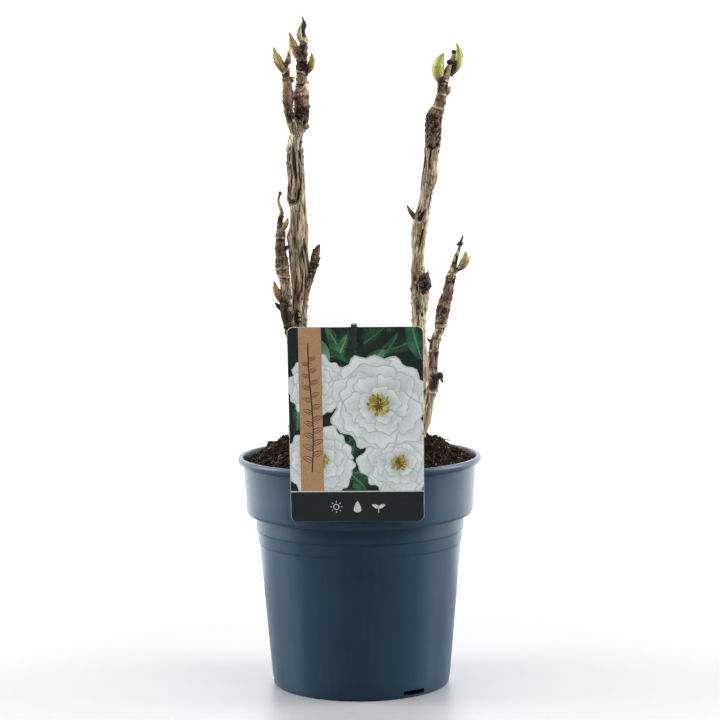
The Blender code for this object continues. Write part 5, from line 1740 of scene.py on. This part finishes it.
def make_right_growth(bark_skin, buds, dry):
    heap = Heap()
    route = domed(stem_route(RIGHT_STEM, RIGHT_TOP, STEM_STEP))
    marks = (RIGHT_STEM_RINGS, RIGHT_STEM_MARKS, RIGHT_STEM_SCARS)
    line = add_limb(heap, route, 92, SEED + 6, RIGHT_STEM_ZONES, *marks)
    for i, (*centre, size) in enumerate(RIGHT_KNOB):
        add_ball(dry, centre, size, (1.0, 1.0, 1.1), 9 + i, (0.75, 0.8, 0.0, 0.0), 0.4)
    for strip in RIGHT_STRIPS:
        add_strip(heap, line, *strip)
    add_strips(heap, line, *RIGHT_STRIP_ROW)
    add_scars(buds, RIGHT_STEM, 0.20, 0.90, 3, SEED + 3)
    add_claw(heap, bowed(*RIGHT_HOOK, CLAW_PROFILE, 30), 64, 0.75, (0.55, 0.9, 0.0, 0.0))
    heap.piece("right_stem_bark", [bark_skin], "bark", "right_stem")
    add_claw(dry, bowed(*RIGHT_THORN, CLAW_PROFILE, 20), 65)

    heap = Heap()
    route = domed(grown(RIGHT_STEM, RIGHT_TOP, TWIG_STEP, 1.0))
    add_limb(heap, route, 52, SEED + 7, RIGHT_TOP_ZONES, RIGHT_TOP_RINGS)
    add_claw(heap, bowed(*RIGHT_TOP_STUB, STUB_PROFILE, 24), 79, 1.0, (0.0, 0.1, 0.3, 0.8))
    add_ball(heap, *RIGHT_TOP_HEEL, 73, (0.9, 0.9, 0.0, 0.0))
    for i, (spec, tones) in enumerate(RIGHT_TOP_SCALES):
        add_claw(heap, bowed(*spec, STUB_PROFILE, 24), 76 + i, 0.7, tones)
    heap.piece("right_top_twigs_bark", [bark_skin], "young_growth", "right_top_twigs")
    add_buds(buds, RIGHT_TOP_BUDS, PLUMP_PROFILE, 70, (1.0, 1.0, 0.3), 3, 0.55)
    for i, (*centre, size) in enumerate(RIGHT_TOP_BALLS):
        add_ball(dry, centre, size, ROUND, 74 + i, (0.8, 0.5, 0.0, 0.0))

    heap = Heap()
    route = domed(stem_route(LOW_STEM, RIGHT_LOW, TWIG_STEP))
    add_limb(heap, route, 64, SEED + 9, LOW_STEM_ZONES, LOW_STEM_RINGS, LOW_STEM_MARKS)
    add_claws(heap, LOW_NUBS, CLAW_PROFILE, 24, 80, 0.9, (0.7, 0.9, 0.0, 0.0))
    add_claw(dry, Line(domed(smooth_route(LOW_CURL, 0.4))), 83, 0.8)
    heap.piece("low_stem_bark", [bark_skin], "bark", "low_stem")

    heap = Heap()
    route = domed(grown(LOW_STEM, RIGHT_LOW, TWIG_STEP, 0.8))
    add_limb(heap, route, 52, SEED + 10, RIGHT_LOW_ZONES, RIGHT_LOW_RINGS)
    add_limb(heap, domed(smooth_route(RIGHT_LOW_TIP, TWIG_STEP)), 28, SEED + 11, RIGHT_LOW_ZONES)
    stalk = bowed(*RIGHT_LOW_STALK, STUB_PROFILE, 20).route()
    add_limb(heap, stalk, 30, SEED + 12, even_zones(0.5, 0.3, 0.1, 0.3))
    add_claws(heap, TIP_SCALES, CLAW_PROFILE, 16, 84, 0.7, (0.1, 0.2, 0.5, 0.9))
    heap.piece("low_stem_twigs_bark", [bark_skin], "young_growth", "low_stem_twigs")
    add_buds(buds, RIGHT_LOW_BUDS, PLUMP_PROFILE, 78, (0.26,), 3)
    add_scars(buds, RIGHT_LOW, 0.10, 0.80, 2, SEED + 4)
    tip = smooth_route(RIGHT_LOW_TIP, 1.0)
    *middle, radius = tip[np.abs(tip[:, 2] - STAR_HEIGHT).argmin()]
    for k in range(STAR_ARMS):
        turn = STAR_TURN + 2.0 * math.pi * k / STAR_ARMS
        out = np.array((math.cos(turn), 0.45 * math.sin(turn), 0.25 + 0.45 * math.sin(turn)))
        arm = bowed(middle, middle + out * STAR_ARM, radius * 1.35, 0.0, CLAW_PROFILE, 14)
        add_claw(dry, arm, 90 + k, 0.8)


def make_growth():
    bark_skin = bark_material()
    buds = Heap()
    dry = Heap()
    make_left_growth(bark_skin, buds, dry)
    make_right_growth(bark_skin, buds, dry)
    buds.piece("buds", [bud_material()], "young_growth")
    dead = mottled("dried_scale", (34, 28, 26), (70, 56, 46), 1.2, 0.25, 0.7)
    dry.piece("dried_tips", [dead], "young_growth")


# Studio

def make_floor():
    angles = ring_angles(FLOOR_SEGMENTS)
    rings = []
    for shrink, height in FLOOR_EDGE:
        radius = FLOOR_R - shrink
        rings.append(at(radius * np.cos(angles), FLOOR_Y + radius * np.sin(angles), height))
    heap = Heap()
    add_closed(heap, np.array(rings))
    white = mottled("table_white", (168, 168, 169), (172, 172, 173), 0.004, 0.0, 0.42)
    table = placed("table_top", heap.mesh("table_top", [white]))


def make_world():
    """White all round for the camera; as light, brightest behind the plant and dimmest in front of it."""
    world = bpy.data.worlds.new("studio")
    world.use_nodes = True
    bpy.context.scene.world = world
    nodes = world.node_tree.nodes
    link = world.node_tree.links.new
    nodes.clear()
    parts = nodes.new("ShaderNodeSeparateXYZ")
    link(nodes.new("ShaderNodeTexCoord").outputs["Generated"], parts.inputs[0])
    rays = nodes.new("ShaderNodeLightPath")
    shaders = []
    names = ("From Min", "From Max", "To Min", "To Max")
    for strengths in (WALL_LIGHT, WALL_SHINE):
        front = nodes.new("ShaderNodeMapRange")
        front.interpolation_type = "SMOOTHSTEP"
        for name, value in zip(names, (*WALL_DEPTHS, *strengths)):
            front.inputs[name].default_value = value
        link(parts.outputs["Y"], front.inputs["Value"])
        shader = nodes.new("ShaderNodeBackground")
        link(front.outputs["Result"], shader.inputs["Strength"])
        shaders.append(shader)
    shaders.append(nodes.new("ShaderNodeBackground"))
    for shader in shaders:
        shader.inputs["Color"].default_value = (1.0, 1.0, 1.0, 1.0)
    shown = shaders[0].outputs[0]
    for ray, shader in zip(("Is Glossy Ray", "Is Camera Ray"), shaders[1:]):
        choose = nodes.new("ShaderNodeMixShader")
        for socket, source in zip(choose.inputs, (rays.outputs[ray], shown, shader.outputs[0])):
            link(source, socket)
        shown = choose.outputs[0]
    link(shown, nodes.new("ShaderNodeOutputWorld").inputs["Surface"])


def make_lights():
    for name, place, size, power in SOFT_BOXES:
        data = bpy.data.lights.new(name, "AREA")
        data.shape = "RECTANGLE"
        data.size = size[0] * MM
        data.size_y = size[1] * MM
        data.energy = power
        box = placed(name, data)
        box.location = Vector(place) * MM
        aim = Vector(LIGHT_AIM) * MM - box.location
        box.rotation_euler = aim.to_track_quat("-Z", "Y").to_euler()


def make_camera():
    data = bpy.data.cameras.new("camera")
    data.sensor_width = SENSOR
    data.lens = LENS
    data.clip_end = FAR_CLIP
    camera = placed("camera", data)
    pitch = Matrix.Rotation(math.radians(90.0 - CAMERA_PITCH), 4, "X")
    roll = Matrix.Rotation(math.radians(CAMERA_ROLL), 4, "Z")
    camera.matrix_world = Matrix.Translation(Vector(CAMERA_PLACE) * MM) @ (pitch @ roll)
    bpy.context.scene.camera = camera


make_pot(pot_material())
make_peat()
make_label()
make_growth()
make_floor()
make_world()
make_lights()
make_camera()
bpy.context.scene.view_settings.view_transform = "Standard"
bpy.context.scene.view_settings.look = "Medium High Contrast"
